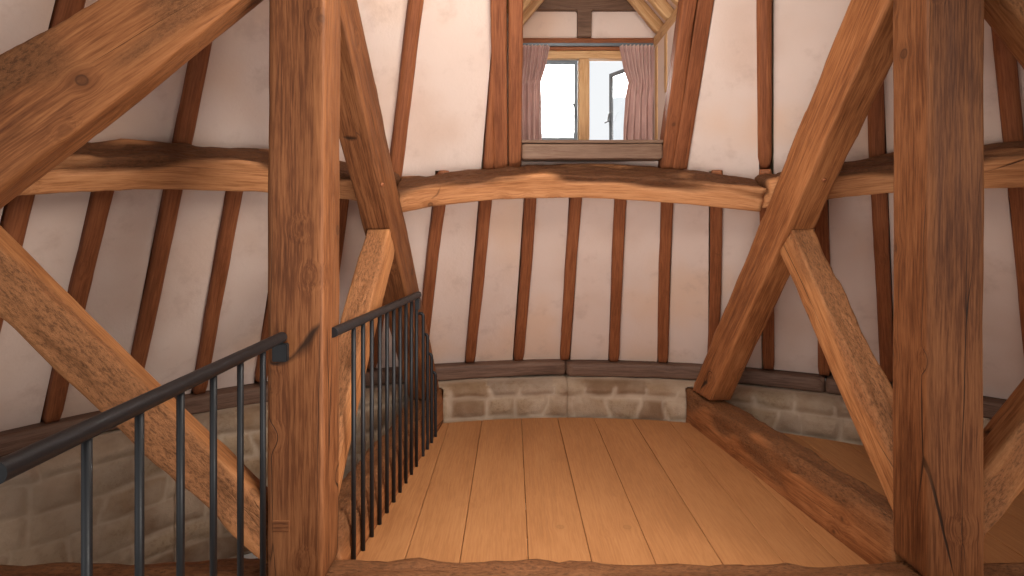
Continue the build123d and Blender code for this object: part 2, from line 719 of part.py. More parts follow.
def dormer_ceiling(cutters):
    band = gable_band(TRIMMER_OUT, RAFTER_RISE, RAFTER_RISE + CEILING_RISE)
    inset = (PLASTER_SET_BACK + PLASTER_THICK) / sin(radians(PITCH)) + THATCH_GAP
    piece = AT_DORMER * along_y(band, CROWN_RADIUS, CEILING_FRONT) - cone_within(inset)
    for cutter in cutters:
        piece = piece - cutter
    return piece.solids().sort_by(SortBy.VOLUME)[-1]


def hood_band():
    low = RAFTER_RISE + CEILING_RISE
    return gable_band(DORMER_HALF + HOOD_EAVES, low, low + HOOD_RISE)


def dormer_hood(cutters):
    """Thatch over the dormer, in two slopes that stop on the main roof."""
    seat = RAFTER_ACROSS + THATCH_SEAT / sin(radians(PITCH))
    right_half = block(HOOD_JOINT, FAR, 0, FAR, 0, FAR)
    slopes = []
    for half in (mirrored(right_half), right_half):
        piece = AT_DORMER * (along_y(hood_band(), CROWN_RADIUS, HOOD_FRONT) & half)
        piece = piece - cone_within(seat)
        for cutter in cutters:
            piece = piece - cutter
        slopes.append(piece.solids().sort_by(SortBy.VOLUME)[-1])
    return slopes


def gable_wall():
    top = gable_line(CHEEK_OUT, RAFTER_RISE)
    outline = [(-CHEEK_OUT, HEAD_TOP), (CHEEK_OUT, HEAD_TOP), (CHEEK_OUT, top),
               (0, gable_line(0, RAFTER_RISE)), (-CHEEK_OUT, top)]
    return along_y(outline, WINDOW_BACK - GABLE_WALL_THICK, WINDOW_BACK)


def gable_collar():
    """Stud and collar on the inside of the gable wall."""
    back = WINDOW_BACK - GABLE_WALL_THICK
    under = HEAD_TOP + GABLE_COLLAR_AT
    top = under + GABLE_COLLAR_HEIGHT
    reach_low = (GABLE_RIDGE + RAFTER_RISE - under) / GABLE_SLOPE
    reach_high = (GABLE_RIDGE + RAFTER_RISE - top) / GABLE_SLOPE
    collar = along_y([(-reach_low, under), (reach_low, under), (reach_high, top),
                      (-reach_high, top)], back - GABLE_STUD_THICK, back)
    half = GABLE_STUD_WIDTH / 2
    stud = block(-half, half, back - GABLE_STUD_THICK, back, HEAD_TOP, under)
    return collar + stud


# Curtains

def curtain_track():
    face = WINDOW_FACE - HEAD_PROUD
    z0 = HEAD_UNDER + TRACK_DROP
    return block(-DORMER_HALF, DORMER_HALF, face - TRACK_WIDTH, face,
                 z0, z0 + TRACK_WIDTH)


def curtain(side):
    """A gathered curtain, drawn to one side, as a plain closed solid."""
    top = HEAD_UNDER + TRACK_DROP - SEAT
    foot = FRAME_FOOT + SEAT
    waist = foot + CURTAIN_WAIST * (top - foot)
    edge = DORMER_HALF - SEAT
    outline = [(edge, foot), (edge, top), (edge - CURTAIN_TOP_WIDTH, top),
               (edge - CURTAIN_WAIST_WIDTH, waist), (edge - CURTAIN_FOOT_WIDTH, foot)]
    back = WINDOW_FACE - HEAD_PROUD - SEAT
    piece = along_y(outline, back - CURTAIN_THICK, back)
    return piece if side > 0 else mirrored(piece)


# Balustrade

def rod(x, y, z0, z1):
    return Pos(x, y, (z0 + z1) / 2) * Cylinder(BALUSTER_RADIUS, z1 - z0)


def hand_rail(x, y0, y1, top):
    bar = Cylinder(RAIL_RADIUS, y1 - y0)
    return Pos(x, (y0 + y1) / 2, top - RAIL_RADIUS) * Rot(90, 0, 0) * bar


def back_railing():
    """From the post back to the raking timber, with short stepped balusters."""
    x = PRINCIPAL_WIDTH / 2 + BACK_RAIL_OUT
    top = FLOOR + RAIL_HEIGHT
    fall = tan(radians(PRINCIPAL_SLOPE))
    rail_end = HALF_POST + (PRINCIPAL_HEAD - top) / fall
    shape = hand_rail(x, 0, rail_end, top)
    for i in range(1, 1 + int((rail_end - HALF_POST) / BACK_STEP)):
        shape = shape + rod(x, HALF_POST + BACK_STEP * i, FLOOR, top - RAIL_RADIUS)
    width, depth, height = BRACKET
    shape = shape + block(x - BACK_RAIL_OUT, x, rail_end - width, rail_end,
                          top - RAIL_RADIUS - height, top - RAIL_RADIUS)
    steps = []
    for i in range(1, 1 + STEP_COUNT):
        y = rail_end + BACK_STEP * i
        middle = PRINCIPAL_HEAD - (y - HALF_POST) * fall
        hook = Pos(x - BACK_RAIL_OUT / 2, y, middle) * Rot(0, 90, 0) * Cylinder(
            BALUSTER_RADIUS, BACK_RAIL_OUT)
        steps.append(rod(x, y, FLOOR, middle) + hook)
    at_post = Pos(-FRAME_AT, FRAME_AT, 0) * Rot(0, 0, -FRAME_BEARINGS["back_left"])
    return [at_post * piece - post(-1) for piece in [shape] + steps]


def front_railing():
    """From past the cut face to the post, standing on the tie."""
    x = -FRAME_AT - FRONT_RAIL_SHIFT
    top = FLOOR + RAIL_HEIGHT
    shape = hand_rail(x, -RAIL_PROUD, FRAME_IN, top)
    for i in range(1, 1 + int((FRAME_IN - BALUSTER_RADIUS) / FRONT_STEP)):
        shape = shape + rod(x, FRAME_IN - FRONT_STEP * i, TIE_TOP, top - RAIL_RADIUS)
    width, depth, height = BRACKET
    shape = shape + block(x - width / 2, x + width / 2, FRAME_IN - depth, FRAME_IN,
                          top - RAIL_RADIUS - height, top - RAIL_RADIUS)
    return shape


def build():
    os.makedirs("parts", exist_ok=True)
    names = tuple(FRAME_BEARINGS)
    back_ties = [back_tie("back_left"), back_tie("back_right")]
    front_ties = [front_tie(side) for side in (-1, 1)]
    wall_ties = cross_tie() + back_ties[0] + back_ties[1]
    walls = [wall_segment(i, wall_ties) for i in range(WALL_SEGMENTS)]
    for name, wall in zip(("wall_left", "wall_back_left", "wall_back_right",
                           "wall_right"), walls):
        save(name, wall)
    plates = plate_segments()
    ties = [cross_tie()] + back_ties + front_ties
    save("wall_plate", *plates)
    save("cross_tie", cross_tie())
    save("back_ties", *back_ties)
    save("front_ties", *front_ties)
    save("floor_boards", *floor_boards(ties))
    save("floor_joists", *floor_joists(ties))

    save("post_left", post(-1))
    save("post_right", post(1))
    save("top_beam", top_beam())
    save("top_rails", top_rail(-1), top_rail(1))
    masonry = walls + plates
    principals = {name: principal(name, masonry) for name in names}
    for name, piece in principals.items():
        save(f"principal_{name}", piece)
    save("struts", *[strut(name, [cross_tie()] + back_ties) for name in names])

    gap = JOINT_GAP / 2
    frames = list(principals.values())
    half_room = block(-FAR, FAR, 0, FAR, 0, FAR)
    purlin_back = purlin(0, [beside("back_left", 1, gap), beside("back_right", -1, gap)],
                         frames)
    corner_left = purlin(-45, [beside("left", 1, gap), beside("back_left", -1, gap)], frames)
    corner_right = purlin(45, [beside("back_right", 1, gap), beside("right", -1, gap)], frames)
    end_left = purlin(-90, [beside("left", -1, gap), half_room], frames)
    end_right = purlin(90, [beside("right", 1, gap), half_room], frames)
    save("purlin_back", purlin_back)
    save("purlins_left", corner_left, end_left)
    save("purlins_right", corner_right, end_right)

    trimmers = trimmer_pair(-1, purlin_back) + trimmer_pair(1, purlin_back)
    trimmer_rooms = sum([trimmer_slab(side, TRIMMER_CLEAR, TRIMMER_OUT) for side in (-1, 1)],
                        Part())
    under_ceiling = dormer_body(CHEEK_OUT, RAFTER_RISE + CEILING_RISE)
    jacks = jack_rafters()
    longs = long_rafters()
    cripples = cripple_rafters(under_ceiling, trimmer_rooms)
    save("jack_rafters", *jacks)
    save("long_rafters", *longs, *cripples)
    save("crown_block", crown_block())
    save("plaster_panels", *plaster(jacks + longs + cripples + [trimmer_rooms, under_ceiling]))

    hood_solid = AT_DORMER * along_y(hood_band(), CROWN_RADIUS, HOOD_FRONT + WALL_THICK)
    body = dormer_body(TRIMMER_OUT, RAFTER_RISE + CEILING_RISE)
    dormer_cut = body + hood_solid + trimmer_rooms
    save("thatch_left", *thatch_side(-1, dormer_cut))
    save("thatch_right", *thatch_side(1, dormer_cut))
    save("thatch_middle", *thatch_middle(dormer_cut))

    save("dormer_trimmers", *trimmers)
    save_dormer("dormer_sill", dormer_sill())
    save_dormer("window_board", window_board())
    save_dormer("dormer_apron", dormer_apron())
    save_dormer("dormer_cheeks", cheek(-1), cheek(1))
    save_dormer("dormer_eaves_plates", eaves_plate(-1), eaves_plate(1))
    save_dormer("dormer_head", dormer_head())
    save_dormer("window_frame", window_frame())
    leaf, pane = casement()
    save_dormer("casement_left", mirrored(leaf))
    save_dormer("casement_right", swung_open(leaf))
    save_dormer("window_glass", mirrored(pane), swung_open(pane))
    save_dormer("dormer_rafters_left", *dormer_rafters(-1))
    save_dormer("dormer_rafters_right", *dormer_rafters(1))
    save("dormer_ceiling", dormer_ceiling([trimmer_rooms] + cripples))
    save("dormer_thatch", *dormer_hood([trimmer_rooms]))
    save_dormer("gable_wall", gable_wall())
    save_dormer("gable_collar", gable_collar())
    save_dormer("curtain_track", curtain_track())
    save_dormer("curtain_left", curtain(-1))
    save_dormer("curtain_right", curtain(1))
    save("railing_back", *back_railing())
    save("railing_front", front_railing())


build()
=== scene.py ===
# %% [markdown]
# # The roof room of a round cottage
# The room under a round thatched roof is carried by a square cage of oak posts, by raking
# timbers that lean from the cage to the wall, and by curved purlins that hold the rafters.
# The CAD model has every piece in its place. This script gives each one its real surface:
# split and worn oak, hand-laid stone, lime plaster, straw, black iron and gathered cloth.

# %% Load the fixed frame
import json
import math

import bmesh
import bpy
import numpy as np
from mathutils import Matrix, Vector
from mathutils.bvhtree import BVHTree


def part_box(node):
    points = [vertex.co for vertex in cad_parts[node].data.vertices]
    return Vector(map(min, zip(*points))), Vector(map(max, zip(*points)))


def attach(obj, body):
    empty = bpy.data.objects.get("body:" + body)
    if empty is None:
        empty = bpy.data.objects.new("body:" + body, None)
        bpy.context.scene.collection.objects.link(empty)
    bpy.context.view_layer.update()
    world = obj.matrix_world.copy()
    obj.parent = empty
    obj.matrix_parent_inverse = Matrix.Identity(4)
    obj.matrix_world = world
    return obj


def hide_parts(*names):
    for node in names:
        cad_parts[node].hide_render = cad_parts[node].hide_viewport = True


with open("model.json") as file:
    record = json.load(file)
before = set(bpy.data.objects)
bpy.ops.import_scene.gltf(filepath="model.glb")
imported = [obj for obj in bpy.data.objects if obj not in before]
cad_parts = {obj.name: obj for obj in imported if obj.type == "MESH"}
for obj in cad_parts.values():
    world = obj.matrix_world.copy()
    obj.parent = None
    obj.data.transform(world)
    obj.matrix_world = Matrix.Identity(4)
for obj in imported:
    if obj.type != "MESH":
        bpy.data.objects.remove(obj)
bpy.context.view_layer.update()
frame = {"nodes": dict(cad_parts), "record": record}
SCENE = bpy.context.scene
AXIS_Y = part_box("wall_left")[0].y             # the round room's axis stands on the cut face
FLOOR_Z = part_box("floor_boards")[1].z         # top of the floor boards

# %% [markdown]
# Shader nodes and geometry nodes are made in the same way, so one short helper adds a node
# of either kind and hands out one of its outputs as a wire. Wires can be added, subtracted
# and multiplied, which makes math nodes, so a mix of patterns reads like a sum on paper. In
# the helper, names in lower case set the node's own options. Names with a capital are
# sockets, and i0, i1 and so on are sockets by number. A wire is linked, a value is set.


# %% Wires, and a helper that adds one node
class Wire:
    """One output of a node, with the arithmetic of math nodes."""

    def __init__(self, tree, socket):
        self.tree = tree
        self.socket = socket

    def beside(self, name):
        """Another output of the same node."""
        return Wire(self.tree, self.socket.node.outputs[name])

    def clamped(self):
        self.socket.node.use_clamp = True
        return self

    def __add__(self, value):
        return maths("ADD", self, value)

    def __sub__(self, value):
        return maths("SUBTRACT", self, value)

    def __rsub__(self, value):
        return maths("SUBTRACT", value, self)

    def __mul__(self, value):
        return maths("MULTIPLY", self, value)


def connect(tree, value, socket):
    """Link a wire to a socket, or set a plain value on it."""
    if isinstance(value, Wire):
        tree.links.new(value.socket, socket)
    elif socket.type == "RGBA":
        socket.default_value = (*value[:3], 1)
    else:
        socket.default_value = value


def put(tree, kind, out=0, **given):
    """Add one node, set or link what is given, and return one of its outputs."""
    node = tree.nodes.new(kind)
    sockets = {}
    for key, value in given.items():
        if key[0].isupper() or key[1:].isdigit():
            sockets[key] = value
        else:
            setattr(node, key, value)
    for key, value in sockets.items():
        connect(tree, value, node.inputs[int(key[1:]) if key[0] == "i" else key.replace("_", " ")])
    return Wire(tree, node.outputs[out])


def maths(what, a, b):
    tree = (a if isinstance(a, Wire) else b).tree
    return put(tree, "ShaderNodeMath", operation=what, i0=a, i1=b)


def vectors(what, a, b):
    return put(a.tree, "ShaderNodeVectorMath", operation=what, i0=a, i1=b)


# %% Helpers for patterns and colours
WHITE = (1.0, 1.0, 1.0)
BLACK = (0.0, 0.0, 0.0)


def grey(value):
    return value, value, value


def times(colour, by):
    return tuple(by * v for v in colour)


def scaled(spot, x, y, z):
    return put(spot.tree, "ShaderNodeMapping", Vector=spot, Scale=(x, y, z))


def noise(spot, scale, detail=3.0, rough=0.55, out=0):
    return put(spot.tree, "ShaderNodeTexNoise", out=out, Vector=spot, Scale=scale, Detail=detail,
               Roughness=rough)


def ramp(factor, stops, smooth=False):
    """A colour ramp from (position, colour) stops."""
    node = factor.tree.nodes.new("ShaderNodeValToRGB")
    node.color_ramp.interpolation = "EASE" if smooth else "LINEAR"
    connect(factor.tree, factor, node.inputs[0])
    marks = node.color_ramp.elements
    while len(marks) < len(stops):
        marks.new(0.5)
    for mark, (place, colour) in zip(marks, stops):
        mark.position = place
        mark.color = (*colour, 1)
    return Wire(factor.tree, node.outputs[0])


def blend(factor, a, b):
    """Colour a where the factor is 0, and colour b where it is 1."""
    return put(factor.tree, "ShaderNodeMix", out=2, data_type="RGBA", i0=factor, i6=a, i7=b)


def node_group(kind, name, inputs, outputs):
    """An empty group with named sockets: its tree, its inputs as wires, and its end."""
    tree = bpy.data.node_groups.new(name, kind)
    for label, sort, value in inputs:
        socket = tree.interface.new_socket(label, in_out="INPUT", socket_type="NodeSocket" + sort)
        if value is not None:
            socket.default_value = value
    for label, sort in outputs:
        tree.interface.new_socket(label, in_out="OUTPUT", socket_type="NodeSocket" + sort)
    given = {socket.name: Wire(tree, socket) for socket in tree.nodes.new("NodeGroupInput").outputs}
    return tree, given, tree.nodes.new("NodeGroupOutput").inputs


def new_material(name, **shader):
    """A material whose plain values stay on the shader's own sockets."""
    mat = bpy.data.materials.new(name)
    mat.use_nodes = True
    bsdf = mat.node_tree.nodes["Principled BSDF"]
    for key, value in shader.items():
        bsdf.inputs[key.replace("_", " ")].default_value = value
    return mat


def finish_material(mat, colour, roughness, height, depth, strength=0.6):
    tree = mat.node_tree
    bump = put(tree, "ShaderNodeBump", Strength=strength, Distance=depth, Height=height)
    bsdf = tree.nodes["Principled BSDF"]
    for label, wire in (("Base Color", colour), ("Roughness", roughness), ("Normal", bump)):
        connect(tree, wire, bsdf.inputs[label])
    return mat


# %% [markdown]
# Oak shows fine fibres and pores that run with the grain, slow changes of tone along the
# log, knots that push the fibres aside, and long dark shakes where it dried and split. All
# old timbers here use them, each with its own colours, so they are one shader group. It
# reads a place on the timber, in metres, with X along the grain. The group hands out a
# colour, a height for the bump and a roughness. Its knots are the cell points of a Voronoi
# texture: a place near one is looked up closer to it, so the fibres flow round it.

# %% The oak grain group
KNOT_CELLS = 5.5                              # knot cells per metre
KNOT_PULL = 0.8 / KNOT_CELLS                  # how far fibres bend towards a knot
KNOT_HEART = (0.045, 0.018, 0.008)
SHAKE_DARK = (0.014, 0.007, 0.004)

oak, wood, oak_end = node_group(
    "ShaderNodeTree", "oak_grain",
    [("Place", "Vector", None), ("Pale", "Color", (0.45, 0.22, 0.10, 1)),
     ("Mid", "Color", (0.28, 0.12, 0.05, 1)), ("Dark", "Color", (0.10, 0.035, 0.012, 1)),
     ("Cracks", "Float", 1.0), ("Knots", "Float", 1.0), ("Contrast", "Float", 1.0)],
    [("Color", "Color"), ("Height", "Float"), ("Roughness", "Float")])
place = wood["Place"]


def drawn_out(spot, along, across, detail, rough):
    """A noise that is drawn out along the grain."""
    return noise(scaled(spot, along, across, across), 1.0, detail, rough)


cells = scaled(place, KNOT_CELLS, KNOT_CELLS, KNOT_CELLS)
knots = put(oak, "ShaderNodeTexVoronoi", out="Distance", Vector=cells, Scale=1.0)
chance = put(oak, "ShaderNodeSeparateColor", i0=knots.beside("Color"))
chosen = maths("GREATER_THAN", chance, 0.60) * wood["Knots"]
near = ramp(knots, [(0.0, WHITE), (0.42, BLACK)], smooth=True) * chosen
pull = vectors("MULTIPLY", vectors("SUBTRACT", knots.beside("Position"), cells), (0.0, KNOT_PULL, KNOT_PULL))
pull = put(oak, "ShaderNodeVectorMath", operation="SCALE", i0=pull, Scale=near)
drift = noise(scaled(place, 1.1, 3.0, 3.0), 1.0, 2.0, 0.5, out="Color")
drift = vectors("MULTIPLY", vectors("SUBTRACT", drift, grey(0.5)), (0.0, 0.035, 0.035))
bent = vectors("ADD", vectors("ADD", place, drift), pull)
fibre = drawn_out(bent, 7.0, 150.0, 4.0, 0.66)
streak = drawn_out(bent, 1.6, 52.0, 5.0, 0.66)
cloud = drawn_out(bent, 2.2, 6.0, 4.0, 0.6)
mixed = (fibre * 0.44 + streak * 0.26 + cloud * 0.30 - 0.5) * wood["Contrast"] + 0.5
colour = blend(ramp(mixed, [(0.33, BLACK), (0.50, WHITE)]), wood["Dark"], wood["Mid"])
colour = blend(ramp(mixed, [(0.48, BLACK), (0.66, WHITE)]), colour, wood["Pale"])
# A shake is the border of a very long cell. How far it has opened fades along the timber.
border = put(oak, "ShaderNodeTexVoronoi", feature="DISTANCE_TO_EDGE", Vector=scaled(bent, 0.45, 8.0, 8.0),
             Scale=1.0)
opened = ramp(drawn_out(place, 0.9, 4.0, 2.0, 0.5), [(0.50, BLACK), (0.66, grey(0.014))]) * wood["Cracks"]
shake = ((opened - border) * 150.0).clamped()
core = ramp(knots, [(0.0, WHITE), (0.02, grey(0.45)), (0.065, grey(0.55)), (0.085, WHITE), (0.115, BLACK)])
core = (core * chosen).clamped()
colour = blend((near * 0.35).clamped(), colour, wood["Dark"])
colour = blend(core * 0.75, colour, KNOT_HEART)
colour = blend(shake * 0.9, colour, SHAKE_DARK)
height = fibre * 0.30 + streak * 0.55 - shake * 1.2 - core * 0.25
for label, value in (("Color", colour), ("Height", height), ("Roughness", streak * 0.3 + 0.42)):
    connect(oak, value, oak_end[label])
print("oak group nodes", len(oak.nodes))

# %% [markdown]
# The colours below are what tells one timber from another: honey brown on the sawn cage,
# redder on the rafters, pale on the newer wood of the dormer. Pointiness lightens arrises
# that hands and clothes have rubbed, and darkens the hollows with painted shade. The
# attribute "bark" says how much dark, rough outside wood is left at a place.


# %% Timber materials
ARRIS_WEAR = 0.35                             # how far a rubbed arris turns pale


def kept_value(tree, name, out):
    """A value that is kept on the points of a mesh."""
    return put(tree, "ShaderNodeAttribute", out=out, attribute_name=name)


def pointiness(tree):
    return put(tree, "ShaderNodeNewGeometry", out="Pointiness")


def timber_material(name, pale, mid, dark, cracks=1.0, knots=1.0, contrast=1.0, depth=0.003,
                    bark=(0.055, 0.022, 0.010)):
    mat = new_material(name, Specular_IOR_Level=0.18)
    tree = mat.node_tree
    spot = kept_value(tree, "grain", "Vector")
    grain = put(tree, "ShaderNodeGroup", node_tree=oak, Place=spot, Pale=pale, Mid=mid, Dark=dark,
                Cracks=cracks, Knots=knots, Contrast=contrast)
    point = pointiness(tree)
    colour = blend(ramp(point, [(0.50, BLACK), (0.56, grey(ARRIS_WEAR))]), grain, pale)
    # Painted shade: hollows found by pointiness are darkened towards the dark tone.
    colour = blend(ramp(point, [(0.43, WHITE), (0.49, BLACK)]) * 0.6, colour, dark)
    left = kept_value(tree, "bark", "Fac")
    crust = noise(scaled(spot, 45.0, 110.0, 110.0), 1.0, 6.0, 0.75)
    crumbs = ramp(crust, [(0.38, times(bark, 0.45)), (0.50, bark), (0.66, times(bark, 1.35))])
    colour = blend(left * 0.9, colour, crumbs)
    height = grain.beside("Height") + left * crust * 3.0
    return finish_material(mat, colour, grain.beside("Roughness"), height, depth)


SAWN_OAK = timber_material("sawn_oak", (0.27, 0.105, 0.039), (0.158, 0.054, 0.019),
                           (0.062, 0.018, 0.006), contrast=1.35)
HEWN_OAK = timber_material("hewn_oak", (0.42, 0.168, 0.063), (0.265, 0.094, 0.032),
                           (0.112, 0.034, 0.011), contrast=1.25, depth=0.005,
                           bark=(0.185, 0.075, 0.030))
STRUT_OAK = timber_material("strut_oak", (0.52, 0.235, 0.092), (0.36, 0.142, 0.050),
                            (0.16, 0.052, 0.018), contrast=1.2, depth=0.006,
                            bark=(0.31, 0.128, 0.052))
PURLIN_OAK = timber_material("purlin_oak", (0.60, 0.285, 0.125), (0.46, 0.195, 0.078),
                             (0.22, 0.075, 0.027), contrast=1.15, cracks=0.7, depth=0.005,
                             bark=(0.085, 0.030, 0.012))
RAFTER_OAK = timber_material("rafter_oak", (0.34, 0.122, 0.049), (0.225, 0.070, 0.027),
                             (0.100, 0.029, 0.010), contrast=1.2, cracks=0.4, knots=0.6)
PLATE_OAK = timber_material("plate_oak", (0.20, 0.115, 0.078), (0.125, 0.066, 0.043),
                            (0.060, 0.030, 0.019), contrast=1.2, cracks=0.8, knots=0.5, depth=0.005)
DORMER_OAK = timber_material("dormer_oak", (0.66, 0.42, 0.22), (0.54, 0.30, 0.135),
                             (0.36, 0.17, 0.066), cracks=0.2, knots=0.5)
BOARD_OAK = timber_material("board_oak", (0.50, 0.235, 0.092), (0.385, 0.158, 0.056),
                            (0.25, 0.092, 0.031), cracks=0.15, knots=0.5, depth=0.0010)
SILL_OAK = timber_material("sill_oak", (0.235, 0.143, 0.095), (0.168, 0.092, 0.058),
                           (0.085, 0.042, 0.025), contrast=1.2, cracks=0.5, knots=0.4)

# %% [markdown]
# The next finishes read Object coordinates. The frame's objects all sit at the origin, so
# those are simply places in the room, in metres.


# %% Plaster, stone, straw, iron and glass
def room_place(mat):
    return put(mat.node_tree, "ShaderNodeTexCoord", out="Object")


def plaster_material():
    mat = new_material("lime_plaster", Specular_IOR_Level=0.1)
    spot = room_place(mat)
    blot = noise(spot, 5.5, 5.0, 0.65)
    colour = ramp(noise(spot, 1.1), [(0.34, (0.65, 0.47, 0.38)), (0.52, (0.72, 0.56, 0.48)),
                                     (0.68, (0.72, 0.51, 0.39))], smooth=True)
    stain = ramp(blot, [(0.52, BLACK), (0.74, grey(0.4))], smooth=True)
    colour = blend(stain, colour, (0.50, 0.34, 0.27))
    height = blot + noise(spot, 90.0) * 0.12
    return finish_material(mat, colour, blot * 0.2 + 0.75, height, depth=0.012, strength=0.5)


def stone_material():
    """Rough stone with mortar. The attribute holds joint, stone number and side."""
    mat = new_material("wall_stone", Specular_IOR_Level=0.25)
    spot = room_place(mat)
    joint = put(mat.node_tree, "ShaderNodeSeparateXYZ", i0=kept_value(mat.node_tree, "stone", "Vector"))
    big = noise(spot, 4.5)
    pits = noise(spot, 30.0, 6.0, 0.7)
    tone = joint.beside("Y") * 0.55 + big * 0.45
    colour = ramp(tone, [(0.22, (0.18, 0.095, 0.047)), (0.45, (0.27, 0.162, 0.086)),
                         (0.62, (0.34, 0.232, 0.142)), (0.80, (0.25, 0.170, 0.115))], smooth=True)
    # Darker where the pits of the bump lie low.
    pit_darkening = ramp(pits, [(0.36, WHITE), (0.54, BLACK)], smooth=True)
    colour = blend(pit_darkening * 0.55, colour, (0.20, 0.11, 0.055))
    lime = ramp(big, [(0.35, (0.43, 0.320, 0.23)), (0.65, (0.53, 0.405, 0.30))], smooth=True)
    wash = ramp(noise(spot, 2.2, 4.0, 0.6), [(0.40, BLACK), (0.62, WHITE)], smooth=True) * 0.45 + 0.10
    colour = blend(maths("MAXIMUM", wash, maths("POWER", joint, 2.0) * 0.8), colour, lime)
    height = (pits + noise(spot, 140.0) * 0.3) * (1.0 - joint * 0.7)
    return finish_material(mat, colour, pits * 0.2 + 0.72, height, depth=0.010, strength=0.8)


def thatch_material():
    """Straw that runs down the cone, so its pattern reads the way round, the reach and the height."""
    mat = new_material("straw_thatch", Specular_IOR_Level=0.25)
    tree = mat.node_tree
    moved = put(tree, "ShaderNodeMapping", Vector=room_place(mat), Location=(0.0, -AXIS_Y, 0.0))
    x = put(tree, "ShaderNodeSeparateXYZ", i0=moved)
    y, z = x.beside("Y"), x.beside("Z")
    flat = put(tree, "ShaderNodeCombineXYZ", X=x, Y=y, Z=0.0)
    reach = put(tree, "ShaderNodeVectorMath", out="Value", operation="LENGTH", i0=flat)
    spot = put(tree, "ShaderNodeCombineXYZ", X=maths("ARCTAN2", x, y) * 2.2, Y=reach, Z=z)
    straw = noise(scaled(spot, 150.0, 6.0, 4.5), 1.0, 4.0, 0.7)
    bunch = noise(scaled(spot, 14.0, 1.5, 1.2), 1.0, 3.0, 0.6)
    colour = ramp(straw, [(0.30, (0.10, 0.070, 0.040)), (0.50, (0.34, 0.25, 0.145)),
                          (0.72, (0.55, 0.44, 0.28))])
    weather = ramp(noise(spot, 1.4, 3.0, 0.5), [(0.42, BLACK), (0.66, grey(0.7))], smooth=True)
    colour = blend(weather, colour, (0.20, 0.165, 0.125))
    return finish_material(mat, colour, straw * 0.2 + 0.72, straw + bunch * 1.4, depth=0.02, strength=0.9)


def iron_material(name, dark, worn, metal, gloss, shine=0.5):
    mat = new_material(name, Metallic=metal, Specular_IOR_Level=shine)
    spot = room_place(mat)
    rub = noise(spot, 22.0, 5.0, 0.7)
    edge = ramp(pointiness(mat.node_tree), [(0.51, BLACK), (0.58, WHITE)])
    mask = maths("MAXIMUM", ramp(rub, [(0.56, BLACK), (0.74, WHITE)]) * 0.25, edge * 0.35)
    height = rub + noise(spot, 260.0, 2.0) * 0.4
    return finish_material(mat, blend(mask, dark, worn), rub * 0.3 + gloss, height, depth=0.0012,
                           strength=0.35)


def glass_material():
    mat = new_material("window_glass", Transmission_Weight=1.0, IOR=1.45)
    smear = noise(room_place(mat), 14.0, 4.0)
    colour = ramp(smear, [(0.3, (0.93, 0.96, 0.97)), (0.7, (0.98, 0.99, 1.0))])
    rough = ramp(smear, [(0.45, BLACK), (0.8, WHITE)]) * 0.06
    return finish_material(mat, colour, rough, smear, depth=0.0004, strength=0.1)


PLASTER = plaster_material()
STONE = stone_material()
THATCH = thatch_material()
BLACK_IRON = iron_material("black_iron", (0.008, 0.008, 0.010), (0.026, 0.024, 0.023), 0.0, 0.26, 0.3)
GREY_METAL = iron_material("grey_metal", (0.075, 0.085, 0.095), (0.22, 0.23, 0.24), 0.55, 0.35)
GLASS = glass_material()

# %% [markdown]
# A CAD node whose shape is right stays as it is and only gets a finish. Its mesh is never
# changed. Pieces that need a living surface are made further down and replace their nodes.

# %% Finishes for the CAD nodes that stay
KEPT = {
    PLASTER: ("plaster_panels", "dormer_ceiling", "gable_wall", "dormer_cheeks", "dormer_apron"),
    GREY_METAL: ("casement_left", "casement_right", "curtain_track"),
    GLASS: ("window_glass",),
}
for finish, names in KEPT.items():
    for name in names:
        mesh = frame["nodes"][name].data
        mesh.materials.clear()
        mesh.materials.append(finish)

# %% [markdown]
# ## Timbers
# A hewn timber isn't a clean box. Its arrises are rounded or have bark left on them, its
# length wanders, and its faces have adze and saw marks. Each solid of a CAD node is copied,
# remeshed into small even faces, and then its points are moved by smooth random values
# that are stretched along the grain. The place of each point on the straight timber is
# kept in the attribute "grain", so that the oak's pattern follows a curved piece too.


# %% Smooth random values for many points at once
def lattice(points, seed):
    """Values from -1 to 1 that change smoothly over about one unit."""
    cell = np.floor(points).astype(np.int64)
    part = points - cell
    part = part * part * (3 - 2 * part)
    total = np.zeros(len(points))
    for corner in np.ndindex(2, 2, 2):
        at = cell + corner
        code = at[:, 0] * 73856093 ^ at[:, 1] * 19349663 ^ at[:, 2] * 83492791 ^ (seed * 40503)
        code = (code ^ (code >> 13)) * 1274126177 & 0x7FFFFFFF
        value = ((code ^ (code >> 16)) & 0xFFFF) / 32767.5 - 1
        total += value * np.prod(np.where(corner, part, 1 - part), axis=1)
    return total


# %% Take a CAD node apart into its solids
def shells(node):
    """Each closed shell of a CAD node, as (points, triangles)."""
    bm = bmesh.new()
    bm.from_mesh(frame["nodes"][node].data)
    bmesh.ops.remove_doubles(bm, verts=bm.verts, dist=1e-5)
    bm.verts.index_update()
    owner = {}
    found = []
    for first in bm.faces:
        if first in owner:
            continue
        owner[first] = len(found)
        stack = [first]
        group = []
        while stack:
            face = stack.pop()
            group.append(face)
            for edge in face.edges:
                for other in edge.link_faces:
                    if other not in owner:
                        owner[other] = len(found)
                        stack.append(other)
        verts = sorted({v for f in group for v in f.verts}, key=lambda v: v.index)
        order = {v: i for i, v in enumerate(verts)}
        found.append((np.array([v.co for v in verts]),
                      [[order[v] for v in f.verts] for f in group]))
    bm.free()
    return found


def plain_mesh(name, points, faces):
    mesh = bpy.data.meshes.new(name)
    mesh.from_pydata([tuple(p) for p in points], [], [list(f) for f in faces])
    mesh.update()
    return mesh


def as_arrays(bm):
    """The points and faces of a bmesh, which is freed."""
    bm.verts.index_update()
    made = np.array([v.co for v in bm.verts]), [[v.index for v in f.verts] for f in bm.faces]
    bm.free()
    return made


